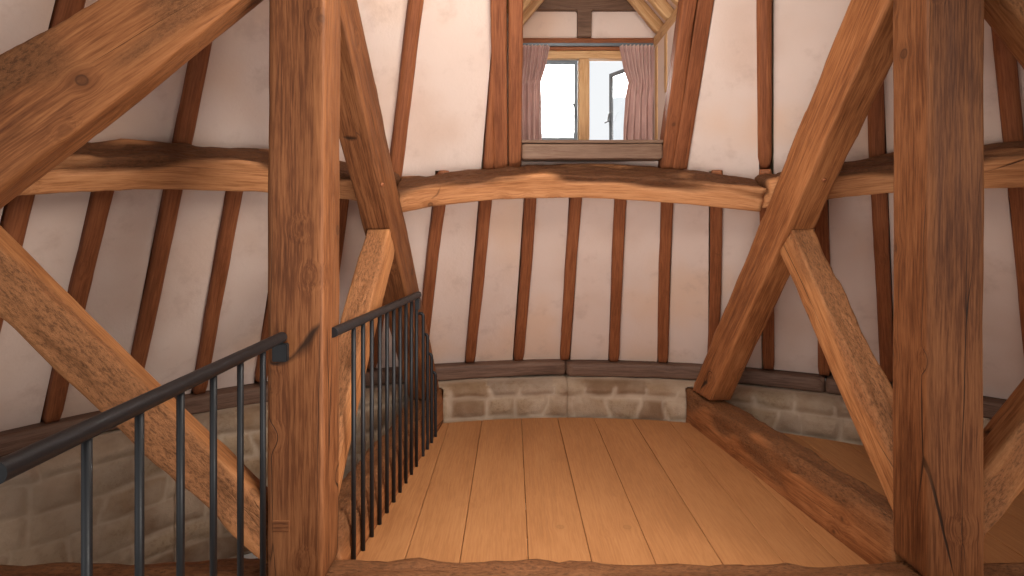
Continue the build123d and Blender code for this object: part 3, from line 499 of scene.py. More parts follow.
def evaluated_mesh(obj):
    """A new mesh, as the object's modifiers leave it."""
    view = bpy.context.evaluated_depsgraph_get()
    return bpy.data.meshes.new_from_object(obj.evaluated_get(view))


def keep_on_points(mesh, label, values):
    """Keep a number or a vector for each point of a mesh, for its material or a tree."""
    values = np.ascontiguousarray(values, np.float32)
    kind, field = ("FLOAT", "value") if values.ndim == 1 else ("FLOAT_VECTOR", "vector")
    mesh.attributes.new(label, kind, "POINT").data.foreach_set(field, values.ravel())


def remeshed(points, faces, size, middle=0.0, axes=np.eye(3), stretch=1.0):
    """The same closed shape in small faces, which can be longer along the first axis."""
    scale = np.array([stretch, 1.0, 1.0])
    obj = bpy.data.objects.new("raw", plain_mesh("raw", (points - middle) @ axes.T / scale, faces))
    SCENE.collection.objects.link(obj)
    even = obj.modifiers.new("even", "REMESH")
    even.mode = "VOXEL"
    even.voxel_size = size
    mesh = evaluated_mesh(obj)
    verts = np.empty(len(mesh.vertices) * 3)
    mesh.vertices.foreach_get("co", verts)
    loops = np.empty(len(mesh.loops), np.int32)
    mesh.loops.foreach_get("vertex_index", loops)
    bpy.data.objects.remove(obj)
    bpy.data.meshes.remove(mesh)
    return (verts.reshape(-1, 3) * scale) @ axes + middle, loops.reshape(-1, 4)


# %% Lay a timber straight, and find its section
LONG = 3.0                                    # a slender timber's faces are this much longer than wide


def timber_axes(points):
    """The timber's middle and its own axes: along, level across, and up."""
    middle = (points.min(0) + points.max(0)) / 2
    along = np.linalg.eigh(np.cov((points - points.mean(0)).T))[1][:, 2]
    if along[np.argmax(abs(along))] < 0:
        along = -along
    up = np.array([0.0, 0.0, 1.0])
    if abs(along[2]) > 0.97:
        up = np.array([0.0, 1.0, 0.0])
    across = np.cross(up, along)
    across /= np.linalg.norm(across)
    return middle, np.array([along, across, np.cross(along, across)])


def timber_mesh(points, faces, size):
    """A timber in small faces, which are long ones where it is slender."""
    middle, axes = timber_axes(points)
    reach = np.ptp((points - middle) @ axes.T, axis=0)
    return remeshed(points, faces, size, middle, axes, LONG if reach[0] > LONG * reach[1:].max() else 1.0)


# %% [markdown]
# The section is pulled towards a rounded shape: a high power leaves a sawn arris nearly
# sharp, a low one leaves the wane of a log. The power changes along the timber, so the
# arris comes and goes as it does on a hand-hewn piece.


# %% Give a timber its worked surface
def section_turn(points):
    """The turn that lays a leaning section square, as a 2 x 2 matrix."""
    best = None
    for degree in range(-44, 46, 2):
        c, s = math.cos(math.radians(degree)), math.sin(math.radians(degree))
        turn = np.array([[c, -s], [s, c]])
        size = np.percentile(abs(points @ turn.T), 98, axis=0).prod() * (1 + 0.0005 * abs(degree))
        if best is None or size < best[0]:
            best = (size, turn)
    return best[1]


def worked(points, seed, wander=0.004, hew=0.002, wane=14.0, bark_side=None, rough=0.008,
           bark_from=0.25):
    """Moves the points of one timber, and returns them with their places on the grain."""
    middle, axes = timber_axes(points)
    local = (points - middle) @ axes.T
    along = local[:, 0]
    curve = [np.polyfit(along, local[:, i], 2) for i in (1, 2)]
    for i in (1, 2):
        local[:, i] -= np.polyval(curve[i - 1], along)
    turn = section_turn(local[:, 1:])
    local[:, 1:] = local[:, 1:] @ turn.T
    half = np.percentile(abs(local[:, 1:]), 98, axis=0)
    swing = lattice(np.c_[along * 2.3, np.sign(local[:, 1]) * 3.7, np.sign(local[:, 2]) * 5.1], seed)
    power = wane * (1.0 + 0.45 * swing)[:, None]
    share = np.clip(abs(local[:, 1:]) / half, 0, 1)
    pull = np.sum(share ** power, axis=1) ** (1 / power[:, 0])
    inside = pull > 1
    local[inside, 1:] /= pull[inside, None]
    grain = local.copy()
    outward = local[:, 1:] / half
    outward /= np.maximum(np.linalg.norm(outward, axis=1), 1e-6)[:, None]
    marks = hew * (lattice(local * (3.0, 14.0, 14.0), seed + 1)
                   + 0.6 * lattice(local * (11.0, 40.0, 40.0), seed + 2) - 0.6)
    bark = np.zeros(len(points))
    if bark_side is not None:
        side = turn @ (axes[1:] @ np.array(bark_side, float))
        facing = outward @ side / max(np.linalg.norm(side), 1e-6)
        ragged = 0.5 * lattice(local * (5.0, 12.0, 12.0), seed + 7)
        bark = np.clip((facing - bark_from + ragged) / 0.35, 0, 1)
        deep = (lattice(local * (7.0, 20.0, 20.0), seed + 3)
                + 0.6 * lattice(local * (18.0, 50.0, 50.0), seed + 4))
        marks += bark * rough * (deep - 0.9)
    local[:, 1:] += outward * marks[:, None]
    local[:, 1:] = local[:, 1:] @ turn
    for i in (1, 2):
        local[:, i] += np.polyval(curve[i - 1], along)
        local[:, i] += wander * lattice(np.c_[along * 1.4, along * 0, along * 0 + i], seed + 5)
    grain[:, 0] += seed * 1.37
    return local @ axes + middle, np.c_[grain, bark]


def add_piece(name, points, faces, finish, grain=None, smooth=True):
    """One finished mesh object at the origin, riding on the frame."""
    mesh = plain_mesh(name, points, faces)
    mesh.materials.append(finish)
    if grain is not None:
        keep_on_points(mesh, "grain", grain[:, :3])
        keep_on_points(mesh, "bark", grain[:, 3])
    if smooth:
        mesh.shade_smooth()
    obj = bpy.data.objects.new(name, mesh)
    SCENE.collection.objects.link(obj)
    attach(obj, "root")
    return obj


def takes_over(obj, node):
    """The piece stands in for a CAD node, which is hidden."""
    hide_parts(node)
    return obj


def one_object(pieces):
    """Join pieces into the first of them."""
    with bpy.context.temp_override(active_object=pieces[0], selected_editable_objects=pieces):
        bpy.ops.object.join()
    return pieces[0]


def joined(parts):
    """Several (points, faces, values of the points) as one."""
    shift = np.cumsum([0] + [len(p[0]) for p in parts[:-1]])
    faces = [[int(v) + by for v in face] for part, by in zip(parts, shift.tolist()) for face in part[1]]
    return np.concatenate([p[0] for p in parts]), faces, np.concatenate([p[2] for p in parts])


def timbers(name, solids, finish, size, seed, step, **work):
    """One piece of several timbers, each with a seed of its own."""
    parts = []
    for k, (points, faces) in enumerate(solids):
        dense, quads = timber_mesh(points, faces, size)
        moved, grain = worked(dense, seed + step * k, **work)
        parts.append((moved, quads, grain))
    points, faces, grain = joined(parts)
    return add_piece(name, points, faces, finish, grain)


# %% [markdown]
# Every timber node is listed with its finish, the size of its faces and how rough it is.
# Thin timbers have the smallest faces, and those high up or under the floor the largest.

# %% Make the timbers
UP = (0, 0, 1)
TIE = dict(wander=0.008, hew=0.005, wane=5, bark_side=UP, rough=0.012)
PURLIN = dict(wander=0.010, hew=0.004, wane=6, rough=0.016, bark_from=0.34)
RAFTER = dict(wander=0.008, hew=0.003, wane=9)
TIMBERS = [   # nodes, finish, size of the faces, work
    ("post_left post_right", SAWN_OAK, 0.010, dict(hew=0.0022, wane=18)),
    ("principal_left", HEWN_OAK, 0.012,
     dict(wander=0.006, hew=0.003, wane=10, bark_side=(0, -1, 0.6), rough=0.006, bark_from=0.75)),
    ("principal_back_left", SAWN_OAK, 0.011, dict(wander=0.006, hew=0.003)),
    ("principal_back_right", HEWN_OAK, 0.011, dict(wander=0.006, hew=0.003, wane=12)),
    ("principal_right", STRUT_OAK, 0.011,
     dict(wander=0.006, hew=0.003, wane=9, bark_side=(0, -1, 0), rough=0.006, bark_from=0.5)),
    ("struts", STRUT_OAK, 0.010,
     dict(wander=0.005, hew=0.003, wane=7, bark_side=(0, -1, 0.5), bark_from=0.35)),
    ("top_beam top_rails", SAWN_OAK, 0.016, dict(wander=0.005, wane=12)),
    ("purlin_back", PURLIN_OAK, 0.009, dict(PURLIN, bark_side=(0, -0.5, 0.87))),
    ("purlins_left", PURLIN_OAK, 0.010, dict(PURLIN, bark_side=(0.45, -0.2, 0.87))),
    ("purlins_right", PURLIN_OAK, 0.010, dict(PURLIN, bark_side=(-0.45, -0.2, 0.87))),
    ("wall_plate", PLATE_OAK, 0.016, dict(wander=0.005, hew=0.003, wane=7)),
    ("cross_tie back_ties front_ties", HEWN_OAK, 0.013, TIE),
    ("jack_rafters", RAFTER_OAK, 0.014, RAFTER),
    ("long_rafters", RAFTER_OAK, 0.019, RAFTER),
    ("crown_block", RAFTER_OAK, 0.030, dict(wander=0.0, hew=0.004, wane=30)),
    ("floor_joists", RAFTER_OAK, 0.024, dict(wander=0.003, wane=12)),
    ("dormer_trimmers", RAFTER_OAK, 0.010, dict(wane=12)),
    ("dormer_sill", SILL_OAK, 0.008, dict(wander=0.003, wane=12)),
    ("window_board", SILL_OAK, 0.008, dict(wander=0.0, hew=0.001)),
    ("dormer_head", RAFTER_OAK, 0.008, dict(wander=0.002, wane=12)),
    ("dormer_eaves_plates dormer_rafters_left dormer_rafters_right", DORMER_OAK, 0.008,
     dict(wander=0.002, hew=0.001, wane=12)),
    ("gable_collar", SILL_OAK, 0.007, dict(wander=0.001, hew=0.001)),
]
SLOTS = {row["node"]: row["material_slot"] for row in frame["record"]["subparts"]}
rows = [(node, *how) for names, *how in TIMBERS for node in names.split()]
count = 0
for number, (node, finish, size, work) in enumerate(rows):
    obj = timbers(node + "_wood", shells(node), finish, size, 101 + 31 * number, 17, **work)
    count += len(takes_over(obj, node).data.polygons)
print("timber faces", count)

# %% [markdown]
# The window frame is joined from five bars: two stiles, a head, a foot and a mullion. Each
# is its own timber, so its grain runs along it and the joints show. The cheeks of the
# dormer have pale studs that stand a little proud of the plaster.


# %% Window frame and cheek studs
FRAME_BAR = 0.050
MULLION = 0.070
FRAME_JOINT = 0.0006
STUD_PROUD = 0.006
STUD_BURIED = 0.020
STUD_WIDTH = 0.060
BOX_FACES = [[0, 2, 3, 1], [4, 5, 7, 6], [0, 1, 5, 4], [2, 6, 7, 3], [0, 4, 6, 2], [1, 3, 7, 5]]


def bar_between(*ends):
    """The corners and faces of a straight bar."""
    corners = [(ends[i][0], ends[j][1], ends[k][2]) for i in (0, 1) for j in (0, 1) for k in (0, 1)]
    return np.array(corners), BOX_FACES


def bars_piece(name, bars, finish, size, seed, slot, **work):
    piece = timbers(name, [bar_between(*bar) for bar in bars], finish, size, seed, 13, wander=0.0, **work)
    return piece


# The end of a tenon shows low on the left post.
post_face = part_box("post_left")[0].y
bars_piece("tenon_end", [((-1.193, post_face - 0.003, FLOOR_Z + 0.276),
                          (-1.133, post_face + 0.030, FLOOR_Z + 0.316))],
           SAWN_OAK, 0.004, 5301, "sawn_oak", hew=0.0006)

lo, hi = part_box("window_frame")
middle = (lo.x + hi.x) / 2
inner = FRAME_BAR + FRAME_JOINT
window_frame = bars_piece("window_frame_bars", [
    (lo, (lo.x + FRAME_BAR, hi.y, hi.z)),
    ((hi.x - FRAME_BAR, lo.y, lo.z), hi),
    ((lo.x + inner, lo.y, lo.z), (hi.x - inner, hi.y, lo.z + FRAME_BAR)),
    ((lo.x + inner, lo.y, hi.z - FRAME_BAR), (hi.x - inner, hi.y, hi.z)),
    ((middle - MULLION / 2, lo.y, lo.z + inner), (middle + MULLION / 2, hi.y, hi.z - inner)),
], DORMER_OAK, 0.006, 5003, SLOTS["window_frame"], hew=0.0006, wane=16)
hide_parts("window_frame")

board_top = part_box("window_board")[1].z
head_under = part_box("dormer_head")[0].z
studs = []
for back, foot in ((0.08, board_top), (0.30, board_top + 0.28)):
    y = lo.y - back
    for left, right in ((lo.x - STUD_BURIED, lo.x + STUD_PROUD), (hi.x - STUD_PROUD, hi.x + STUD_BURIED)):
        studs.append(((left, y - STUD_WIDTH, foot), (right, y, head_under)))
cheek_studs = bars_piece("cheek_studs", studs, DORMER_OAK, 0.007, 5101, "new_oak", hew=0.0008, wane=20)
print("window and cheek faces", len(window_frame.data.polygons), len(cheek_studs.data.polygons))

# %% [markdown]
# ## Stone wall
# The wall head is of rough stones in courses, with its top smoothed over in mortar. Each
# of its four lengths is remeshed into small faces. A face point on the curved sides finds
# which stone it belongs to: its course from its height, its stone from its way round the
# ring. The point then goes in by how near it is to the joint, so every stone bulges, and
# by rough noise. Nothing goes outwards, so the wall stays inside the size of the CAD wall.


# %% Courses and stones
COURSES = (0.0, 0.16, 0.27, 0.44, 0.58, 0.73, 0.90)
JOINT_DEEP = 0.018                            # how far the joints lie back from the stones
JOINT_HALF = 0.045                            # how far a stone's edge rounds over to its joint
MORTAR_TOP = 0.030                            # the smoothed mortar on the wall's shelf
WALL_FACE = 0.020


def scatter(*keys):
    """A fixed random value from 0 to 1 for whole numbers, in arrays."""
    code = sum(np.asarray(k, np.int64) * m for k, m in zip(keys, (73856093, 19349663, 83492791)))
    code = (code ^ (code >> 13)) * 1274126177 & 0x7FFFFFFF
    return ((code ^ (code >> 16)) & 0xFFFF) / 65535


def stone_ends(stone, course, face_id, width):
    """Where a stone begins and ends, on the way round the wall."""
    return [(stone + k + 0.30 * (scatter(stone + k, course, face_id) - 0.5)) * width for k in (0, 1)]


def stone_pattern(round_way, z, face_id):
    """For points on a wall face: the nearness to a joint (metres) and the stone's number."""
    wavy = z + 0.035 * lattice(np.c_[round_way * 2.1, z * 2.0, z * 0 + face_id], 5) \
        + 0.012 * lattice(np.c_[round_way * 9.0, z * 9.0, z * 0 + face_id], 6)
    round_way = round_way + 0.03 * lattice(np.c_[round_way * 6.0, z * 7.0, z * 0 + face_id], 8)
    course = np.clip(np.searchsorted(COURSES, wavy) - 1, 0, len(COURSES) - 2)
    low, high = np.array(COURSES)[course], np.array(COURSES)[course + 1]
    from_bed = np.minimum(wavy - low, high - wavy)
    width = 0.19 + 0.16 * scatter(course, face_id, 3)
    spot = round_way / width + 7.3 * scatter(course, face_id, 1)
    stone = np.floor(spot).astype(np.int64)
    along = spot * width
    start, end = stone_ends(stone, course, face_id, width)
    stone = stone - (along < start) + (along > end)
    start, end = stone_ends(stone, course, face_id, width)
    tilt = 0.25 * (wavy - (low + high) / 2) * (scatter(stone, course, face_id + 9) - 0.5)
    from_end = np.minimum(along - start, end - along) + tilt
    return np.minimum(from_bed, from_end), stone * 13 + course * 101 + face_id * 1009


def stone_wall(node, seed):
    """One length of the wall, with its stones."""
    parts = []
    for points, faces in shells(node):
        dense, quads = remeshed(points, faces, WALL_FACE)
        flat = dense - (0, AXIS_Y, 0)
        radius = np.hypot(flat[:, 0], flat[:, 1])
        inside = radius < WALL_MIDDLE
        level = np.clip((dense[:, 2] - SHELF_Z + MORTAR_TOP) / MORTAR_TOP, 0, 1)
        edge = np.minimum(abs(radius - radius.min()), abs(radius - radius.max()))
        side = np.clip(1 - (edge - 0.01) / 0.05, 0, 1) * (1 - level)
        way = np.arctan2(flat[:, 0], flat[:, 1]) * np.where(inside, radius.min(), radius.max())
        near, stone = stone_pattern(way, dense[:, 2], np.where(inside, 1, 2))
        bulge = np.clip(near / JOINT_HALF, 0, 1)
        joint = 1 - bulge * bulge * (3 - 2 * bulge)
        lump = lattice(flat * 9.0, seed) * 0.5 + lattice(flat * 24.0, seed + 1) * 0.35 \
            + lattice(flat * 55.0, seed + 2) * 0.2
        sink = side * (joint * JOINT_DEEP + 0.013 * scatter(stone, 5, 7) + 0.010 * (lump + 1.0))
        sink += (1 - side) * 0.0015 * (lump + 1.0)
        outward = flat[:, :2] / radius[:, None] * np.where(inside, -1, 1)[:, None]
        clear = np.clip((flat[:, 1] - 0.0005) / 0.01, 0, 1)
        dense[:, :2] -= outward * (sink * np.maximum(clear, 0.25))[:, None]
        dense[:, 2] -= level * 0.004 * (lattice(flat * 6.0, seed + 4) + 1.0)
        dense[:, 1] = np.maximum(dense[:, 1], AXIS_Y)
        values = np.c_[np.maximum(joint * side, level), scatter(stone, 3, 1), side]
        parts.append((dense, quads, values))
    points, faces, values = joined(parts)
    obj = add_piece(node + "_stones", points, faces, STONE)
    keep_on_points(obj.data, "stone", values)
    return takes_over(obj, node)


wall_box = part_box("wall_left")
WALL_OUTER = abs(wall_box[0].x)
WALL_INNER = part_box("floor_boards")[1].y - AXIS_Y
WALL_MIDDLE = (WALL_OUTER + WALL_INNER) / 2
SHELF_Z = wall_box[1].z
for number, name in enumerate(("wall_left", "wall_back_left", "wall_back_right", "wall_right")):
    wall = stone_wall(name, 900 + 11 * number)
    print(name, len(wall.data.polygons), "faces")

# %% [markdown]
# ## Floor boards
# The floor is of broad oak boards that run towards the dormer. Each bay between the ties is
# cut into boards of slightly different widths, so every board ends on the tie or the wall
# just where the bay does. A saw cut is left between them, and their arrises are eased.


# %% Saw each bay into boards
BOARD_WIDTH = 0.235
BOARD_GAP = 0.0025
BOARD_EASE = 0.002
NARROWEST_BOARD = 0.09                        # a narrower rest is left on the board before it


def one_board(points, faces, left, right, drop):
    """The part of a bay between two cuts, as (points, faces)."""
    bm = bmesh.new()
    bm.from_mesh(plain_mesh("bay", points, faces))
    for x, way in ((left, -1), (right, 1)):
        cut = bmesh.ops.bisect_plane(bm, geom=bm.verts[:] + bm.edges[:] + bm.faces[:],
                                     plane_co=(x, 0, 0), plane_no=(way, 0, 0), clear_outer=True)
        bmesh.ops.edgenet_fill(bm, edges=[e for e in cut["geom_cut"] if isinstance(e, bmesh.types.BMEdge)])
    bmesh.ops.recalc_face_normals(bm, faces=bm.faces[:])
    rim = [e for e in bm.edges if len(e.link_faces) == 2
           and max(f.normal.z for f in e.link_faces) > 0.9 and min(f.normal.z for f in e.link_faces) < 0.5]
    bmesh.ops.bevel(bm, geom=rim, offset=BOARD_EASE, segments=1, affect="EDGES")
    ends, rings = as_arrays(bm)
    return ends - (0, 0, drop), rings


rng = np.random.default_rng(7)
boards = []
for points, faces in shells("floor_boards"):
    left, last = points[:, 0].min(), points[:, 0].max()
    while left < last - 0.05:
        right = left + BOARD_WIDTH * rng.uniform(0.85, 1.15)
        right = last + BOARD_GAP if last - right < NARROWEST_BOARD else right
        ends, rings = one_board(points, faces, left + BOARD_GAP / 2, right - BOARD_GAP / 2,
                                rng.uniform(0.0, 0.0015))
        # The second value moves each board to its own stretch of the oak pattern.
        place = ends - (left + 0.1, -rng.integers(1, 900) * 2.7, FLOOR_Z - 0.06)
        boards.append((ends, rings, np.c_[place[:, 1], place[:, 0], place[:, 2], np.zeros(len(ends))]))
        left = right
points, faces, grain = joined(boards)
takes_over(add_piece("floor_boards_oak", points, faces, BOARD_OAK, grain, smooth=False),
           "floor_boards")
print("boards", len(boards))

# %% [markdown]
# ## Geometry node trees
# What repeats, or follows a line, is made by geometry nodes: the balusters, the bent rails,
# the oak pegs and the straw ends. Every tree starts from a small mesh of points, edges or
# faces that marks the places, and ends in plain faces with their material set. The object's
# modifier is then turned into a plain mesh and taken away.


# %% Helpers for geometry node trees
def geometry_tree(name, inputs):
    shape = ("Geometry", "Geometry")
    return node_group("GeometryNodeTree", name, [(*shape, None), *inputs, ("Material", "Material", None)],
                      [shape])


def end_tree(tree, end, made, given):
    """Realize what was made, set its material and hand it out."""
    made = put(tree, "GeometryNodeRealizeInstances", Geometry=made)
    made = put(tree, "GeometryNodeSetShadeSmooth", Geometry=made)
    made = put(tree, "GeometryNodeSetMaterial", Geometry=made, Material=given["Material"])
    connect(tree, made, end[0])


def aimed(tree, way):
    return put(tree, "FunctionNodeAlignRotationToVector", axis="Z", Vector=way)


def on_points(tree, name, kind="FLOAT_VECTOR"):
    """A value that the start mesh keeps on its points."""
    return put(tree, "GeometryNodeInputNamedAttribute", data_type=kind, Name=name)


def grown(name, start, tree, **given):
    """Run a tree on a start mesh, and keep the result as one plain mesh piece."""
    obj = bpy.data.objects.new(name, start)
    SCENE.collection.objects.link(obj)
    nodes = obj.modifiers.new("nodes", "NODES")
    nodes.node_group = tree
    sockets = {item.name: item.identifier for item in tree.interface.items_tree
               if item.item_type == "SOCKET" and item.in_out == "INPUT"}
    for label, value in given.items():
        nodes[sockets[label.replace("_", " ")]] = value
    mesh = evaluated_mesh(obj)
    mesh.name = name
    obj.modifiers.clear()
    obj.data = mesh
    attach(obj, "root")
    return obj


def marker_mesh(name, points, edges=(), **values):
    """A start mesh of points and edges, with numbers or vectors kept on the points."""
    mesh = bpy.data.meshes.new(name)
    mesh.from_pydata([tuple(p) for p in points], list(edges), [])
    for label, each in values.items():
        keep_on_points(mesh, label, each)
    return mesh


# %% [markdown]
# Balusters stand on points. Each point carries its bar's height, so bars of any height come
# from one round bar that is one metre long.

# %% Tree: upright bars on points
upright, given, end = geometry_tree("upright_bars", [("Bar radius", "Float", 0.009), ("Sides", "Int", 16)])
bar = put(upright, "GeometryNodeMeshCylinder", fill_type="NGON", Vertices=given["Sides"],
          Side_Segments=1, Radius=given["Bar radius"], Depth=1.0)
bar = put(upright, "GeometryNodeTransform", Geometry=bar, Translation=(0.0, 0.0, 0.5))
stretch = put(upright, "ShaderNodeCombineXYZ", X=1.0, Y=1.0, Z=on_points(upright, "height", "FLOAT"))
bars = put(upright, "GeometryNodeInstanceOnPoints", Points=given["Geometry"], Instance=bar,
           Scale=stretch)
end_tree(upright, end, bars, given)

# %% [markdown]
# A bent bar follows a line of edges. Its corners are rounded first, as a smith bends a bar
# over the anvil, and then a round section is drawn along it.

# %% Tree: bars along a path
bent_bar, given, end = geometry_tree("bent_bar", [
    ("Bar radius", "Float", 0.009), ("Bend radius", "Float", 0.03), ("Sides", "Int", 16)])
line = put(bent_bar, "GeometryNodeMeshToCurve", Mesh=given["Geometry"])
line = put(bent_bar, "GeometryNodeFilletCurve", mode="POLY", Curve=line, Count=6,
           Radius=given["Bend radius"])
ring = put(bent_bar, "GeometryNodeCurvePrimitiveCircle", Resolution=given["Sides"],
           Radius=given["Bar radius"])
tube = put(bent_bar, "GeometryNodeCurveToMesh", Curve=line, Profile_Curve=ring, Fill_Caps=True)
end_tree(bent_bar, end, tube, given)

# %% [markdown]
# ## Thatch
# Straw is laid in courses from the eaves up, each course lapping the one under it, and is
# combed down the slope. Every band is remeshed, and its outside goes in by a small step at
# each course and by long furrows that run down the slope. At the eaves and along the hood
# the straw is cut off blunt, and its ends stick out unevenly, so a tree sets single straws
# there. Nothing leaves the CAD's size.

# %% Tree: straw ends
STRAW_R = 0.0032

straw, given, end = geometry_tree("straw_ends", [
    ("Straws per m2", "Float", 1200.0), ("Straw length", "Float", 0.07), ("Spread", "Float", 0.25),
    ("Seed", "Int", 1)])
spots = put(straw, "GeometryNodeDistributePointsOnFaces", Mesh=given["Geometry"],
            Density=given["Straws per m2"], Seed=given["Seed"])
stray = put(straw, "FunctionNodeRandomValue", data_type="FLOAT_VECTOR", Min=grey(-1.0), Max=grey(1.0),
            Seed=given["Seed"])
stray = put(straw, "ShaderNodeVectorMath", operation="SCALE", i0=stray, Scale=given["Spread"])
aim = aimed(straw, vectors("ADD", on_points(straw, "lay"), stray))
stalk = put(straw, "GeometryNodeMeshCylinder", fill_type="NGON", Vertices=4, Radius=STRAW_R, Depth=1.0)
share = put(straw, "FunctionNodeRandomValue", out=1, data_type="FLOAT", Min=0.6, Max=1.3,
            Seed=given["Seed"])
size = put(straw, "ShaderNodeCombineXYZ", X=1.0, Y=1.0, Z=share * given["Straw length"])
stalks = put(straw, "GeometryNodeInstanceOnPoints", Points=spots, Instance=stalk, Rotation=aim, Scale=size)
end_tree(straw, end, stalks, given)

# %% Comb the bands and set the straws
COURSE = 0.42                                 # one course of straw, down the slope
THATCH_FACE, HOOD_FACE = 0.055, 0.030
EAVES_DEEP = 0.035                            # straws stand up to this near to the eaves' edge
EAVES_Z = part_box("thatch_left")[0].z
EAVES_R = abs(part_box("thatch_left")[0].x)
SIN_60, COS_60 = 0.866, 0.5                   # the roof's slope
SIN_50, COS_50 = 0.766, 0.643                 # the hood's slope


def combed(points, seed, hood):
    """Courses and furrows on the outside of one thatch solid."""
    flat = points - (0, AXIS_Y, 0)
    if hood:
        middle = (flat[:, 0].min() + flat[:, 0].max()) / 2
        out = np.sign(flat[:, 0] - middle + 1e-6)
        lay = np.c_[out * COS_50, flat[:, 1] * 0, flat[:, 2] * 0 - SIN_50]
        over = np.c_[out * SIN_50, flat[:, 1] * 0, flat[:, 2] * 0 + COS_50]
        across = flat[:, 1]
    else:
        radius = np.hypot(flat[:, 0], flat[:, 1]) + 1e-9
        way = flat[:, :2] / radius[:, None]
        lay = np.c_[way * COS_60, np.full(len(flat), -SIN_60)]
        over = np.c_[way * SIN_60, np.full(len(flat), COS_60)]
        across = np.arctan2(flat[:, 0], flat[:, 1]) * (radius + 0.8)
    level = np.einsum("ij,ij->i", flat, over)
    top = level.max() if hood else (EAVES_R * SIN_60 + EAVES_Z * COS_60)
    skin = np.clip(1 - (top - level) / 0.05, 0, 1)
    drop = np.einsum("ij,ij->i", flat, lay) + 0.03 * lattice(np.c_[across * 5, across * 0, across * 0], seed)
    step = 1 - (drop / COURSE) % 1.0
    furrow = lattice(np.c_[across * 26, drop * 1.6, across * 0], seed + 1) \
        + 0.6 * lattice(np.c_[across * 60, drop * 3.0, across * 0], seed + 2)
    sink = skin * (0.003 + 0.012 * step ** 2 + 0.006 * (furrow + 1.4))
    moved = points - over * sink[:, None]
    if not hood:
        moved[:, 1] = np.maximum(moved[:, 1], AXIS_Y)
    return moved, lay


def eaves_faces(points, faces, lay, keep):
    """The faces that the straws stand on, as a start mesh."""
    quads = np.asarray(faces)
    corner = points[quads]
    normal = np.cross(corner[:, 2] - corner[:, 0], corner[:, 3] - corner[:, 1])
    normal /= np.maximum(np.linalg.norm(normal, axis=1), 1e-12)[:, None]
    chosen = quads[keep(normal, corner.mean(1), lay[quads].mean(1))]
    used, again = np.unique(chosen, return_inverse=True)
    mesh = plain_mesh("straw_start", points[used], again.reshape(-1, 4).tolist())
    keep_on_points(mesh, "lay", lay[used])
    return mesh


def thatch_piece(node, seed, hood=False):
    parts = []
    for k, (points, faces) in enumerate(shells(node)):
        dense, quads = remeshed(points, faces, HOOD_FACE if hood else THATCH_FACE)
        moved, lay = combed(dense, seed + 7 * k, hood)
        parts.append((moved, quads, lay))
    points, faces, lay = joined(parts)
    band = add_piece(node + "_straw", points, faces, THATCH)

    def at_ends(normal, middle, flow):
        near = hood | (np.hypot(middle[:, 0], middle[:, 1] - AXIS_Y) < EAVES_R - EAVES_DEEP)
        open_front = middle[:, 1] > AXIS_Y + 0.05
        return (np.einsum("ij,ij->i", normal, flow) > 0.45) & near & open_front

    ends = grown(node + "_ends", eaves_faces(points, faces, lay, at_ends), straw, Straws_per_m2=2000.0,
                 Straw_length=0.030 if hood else 0.045, Spread=0.22, Seed=seed, Material=THATCH)
    return takes_over(one_object([band, ends]), node)


for number, name in enumerate(("thatch_left", "thatch_middle", "thatch_right", "dormer_thatch")):
    band = thatch_piece(name, 41 + 5 * number, hood=name == "dormer_thatch")
    print(name, len(band.data.polygons), "faces")

# %% [markdown]
# ## Oak pegs
# The joints of the frame are held by oak pegs that were driven through them and cut off
# just proud. Ten are made. A ray finds the timber's face at each peg's place, so the peg
# sits on the real surface and not on the plane of the CAD face.

# %% Tree: pegs on points
pegs_tree, given, end = geometry_tree("oak_pegs", [
    ("Peg radius", "Float", 0.010), ("Proud", "Float", 0.004), ("Seed", "Int", 3)])
peg = put(pegs_tree, "GeometryNodeMeshCone", fill_type="NGON", Vertices=8, Side_Segments=1,
          Radius_Top=0.82, Radius_Bottom=1.0, Depth=1.0)
share = put(pegs_tree, "FunctionNodeRandomValue", out=1, data_type="FLOAT", Min=0.85, Max=1.2,
            Seed=given["Seed"])
wide = share * given["Peg radius"]
size = put(pegs_tree, "ShaderNodeCombineXYZ", X=wide, Y=wide, Z=share * given["Proud"])
pegs = put(pegs_tree, "GeometryNodeInstanceOnPoints", Points=given["Geometry"], Instance=peg,
           Rotation=aimed(pegs_tree, on_points(pegs_tree, "out")), Scale=size)
end_tree(pegs_tree, end, pegs, given)

# %% Find the pegs' places and set them
PEGS = [   # piece, x and height above the floor where a level ray towards +Y meets it
    ("post_left", -1.070, 2.16), ("post_left", -1.150, 2.30), ("post_right", 1.155, 2.16),
    ("principal_back_right", 1.045, 1.52), ("principal_back_left", -0.985, 1.50),
    ("cross_tie", -0.9, 0.0), ("cross_tie", 0.1, 0.0), ("cross_tie", 0.8, 0.0),
    ("top_beam", -0.8, 2.50), ("top_beam", 0.8, 2.50)]
spots, outs = [], []
for node, x, z in PEGS:
    wood = bpy.data.objects[node + "_wood"].data
    tree = BVHTree.FromPolygons([v.co for v in wood.vertices], [tuple(p.vertices) for p in wood.polygons])
    hit, normal, _, _ = tree.ray_cast((x, AXIS_Y - 1, FLOOR_Z + z), (0, 1, 0))
    spots.append(hit + normal * 0.001)
    outs.append(normal)
pegs = grown("oak_pegs", marker_mesh("pegs", spots, out=outs), pegs_tree, Material=RAFTER_OAK)
keep_on_points(pegs.data, "grain", [v.co for v in pegs.data.vertices])
print("pegs", len(spots))

# %% [markdown]
# ## Balustrade
# A black iron rail guards the stairwell. The feet of its bars are read from the CAD piece,
# so the bars stand just where the CAD has them. The bars past the back rail's end climb
# less and less, and each is bent over to the raking timber.


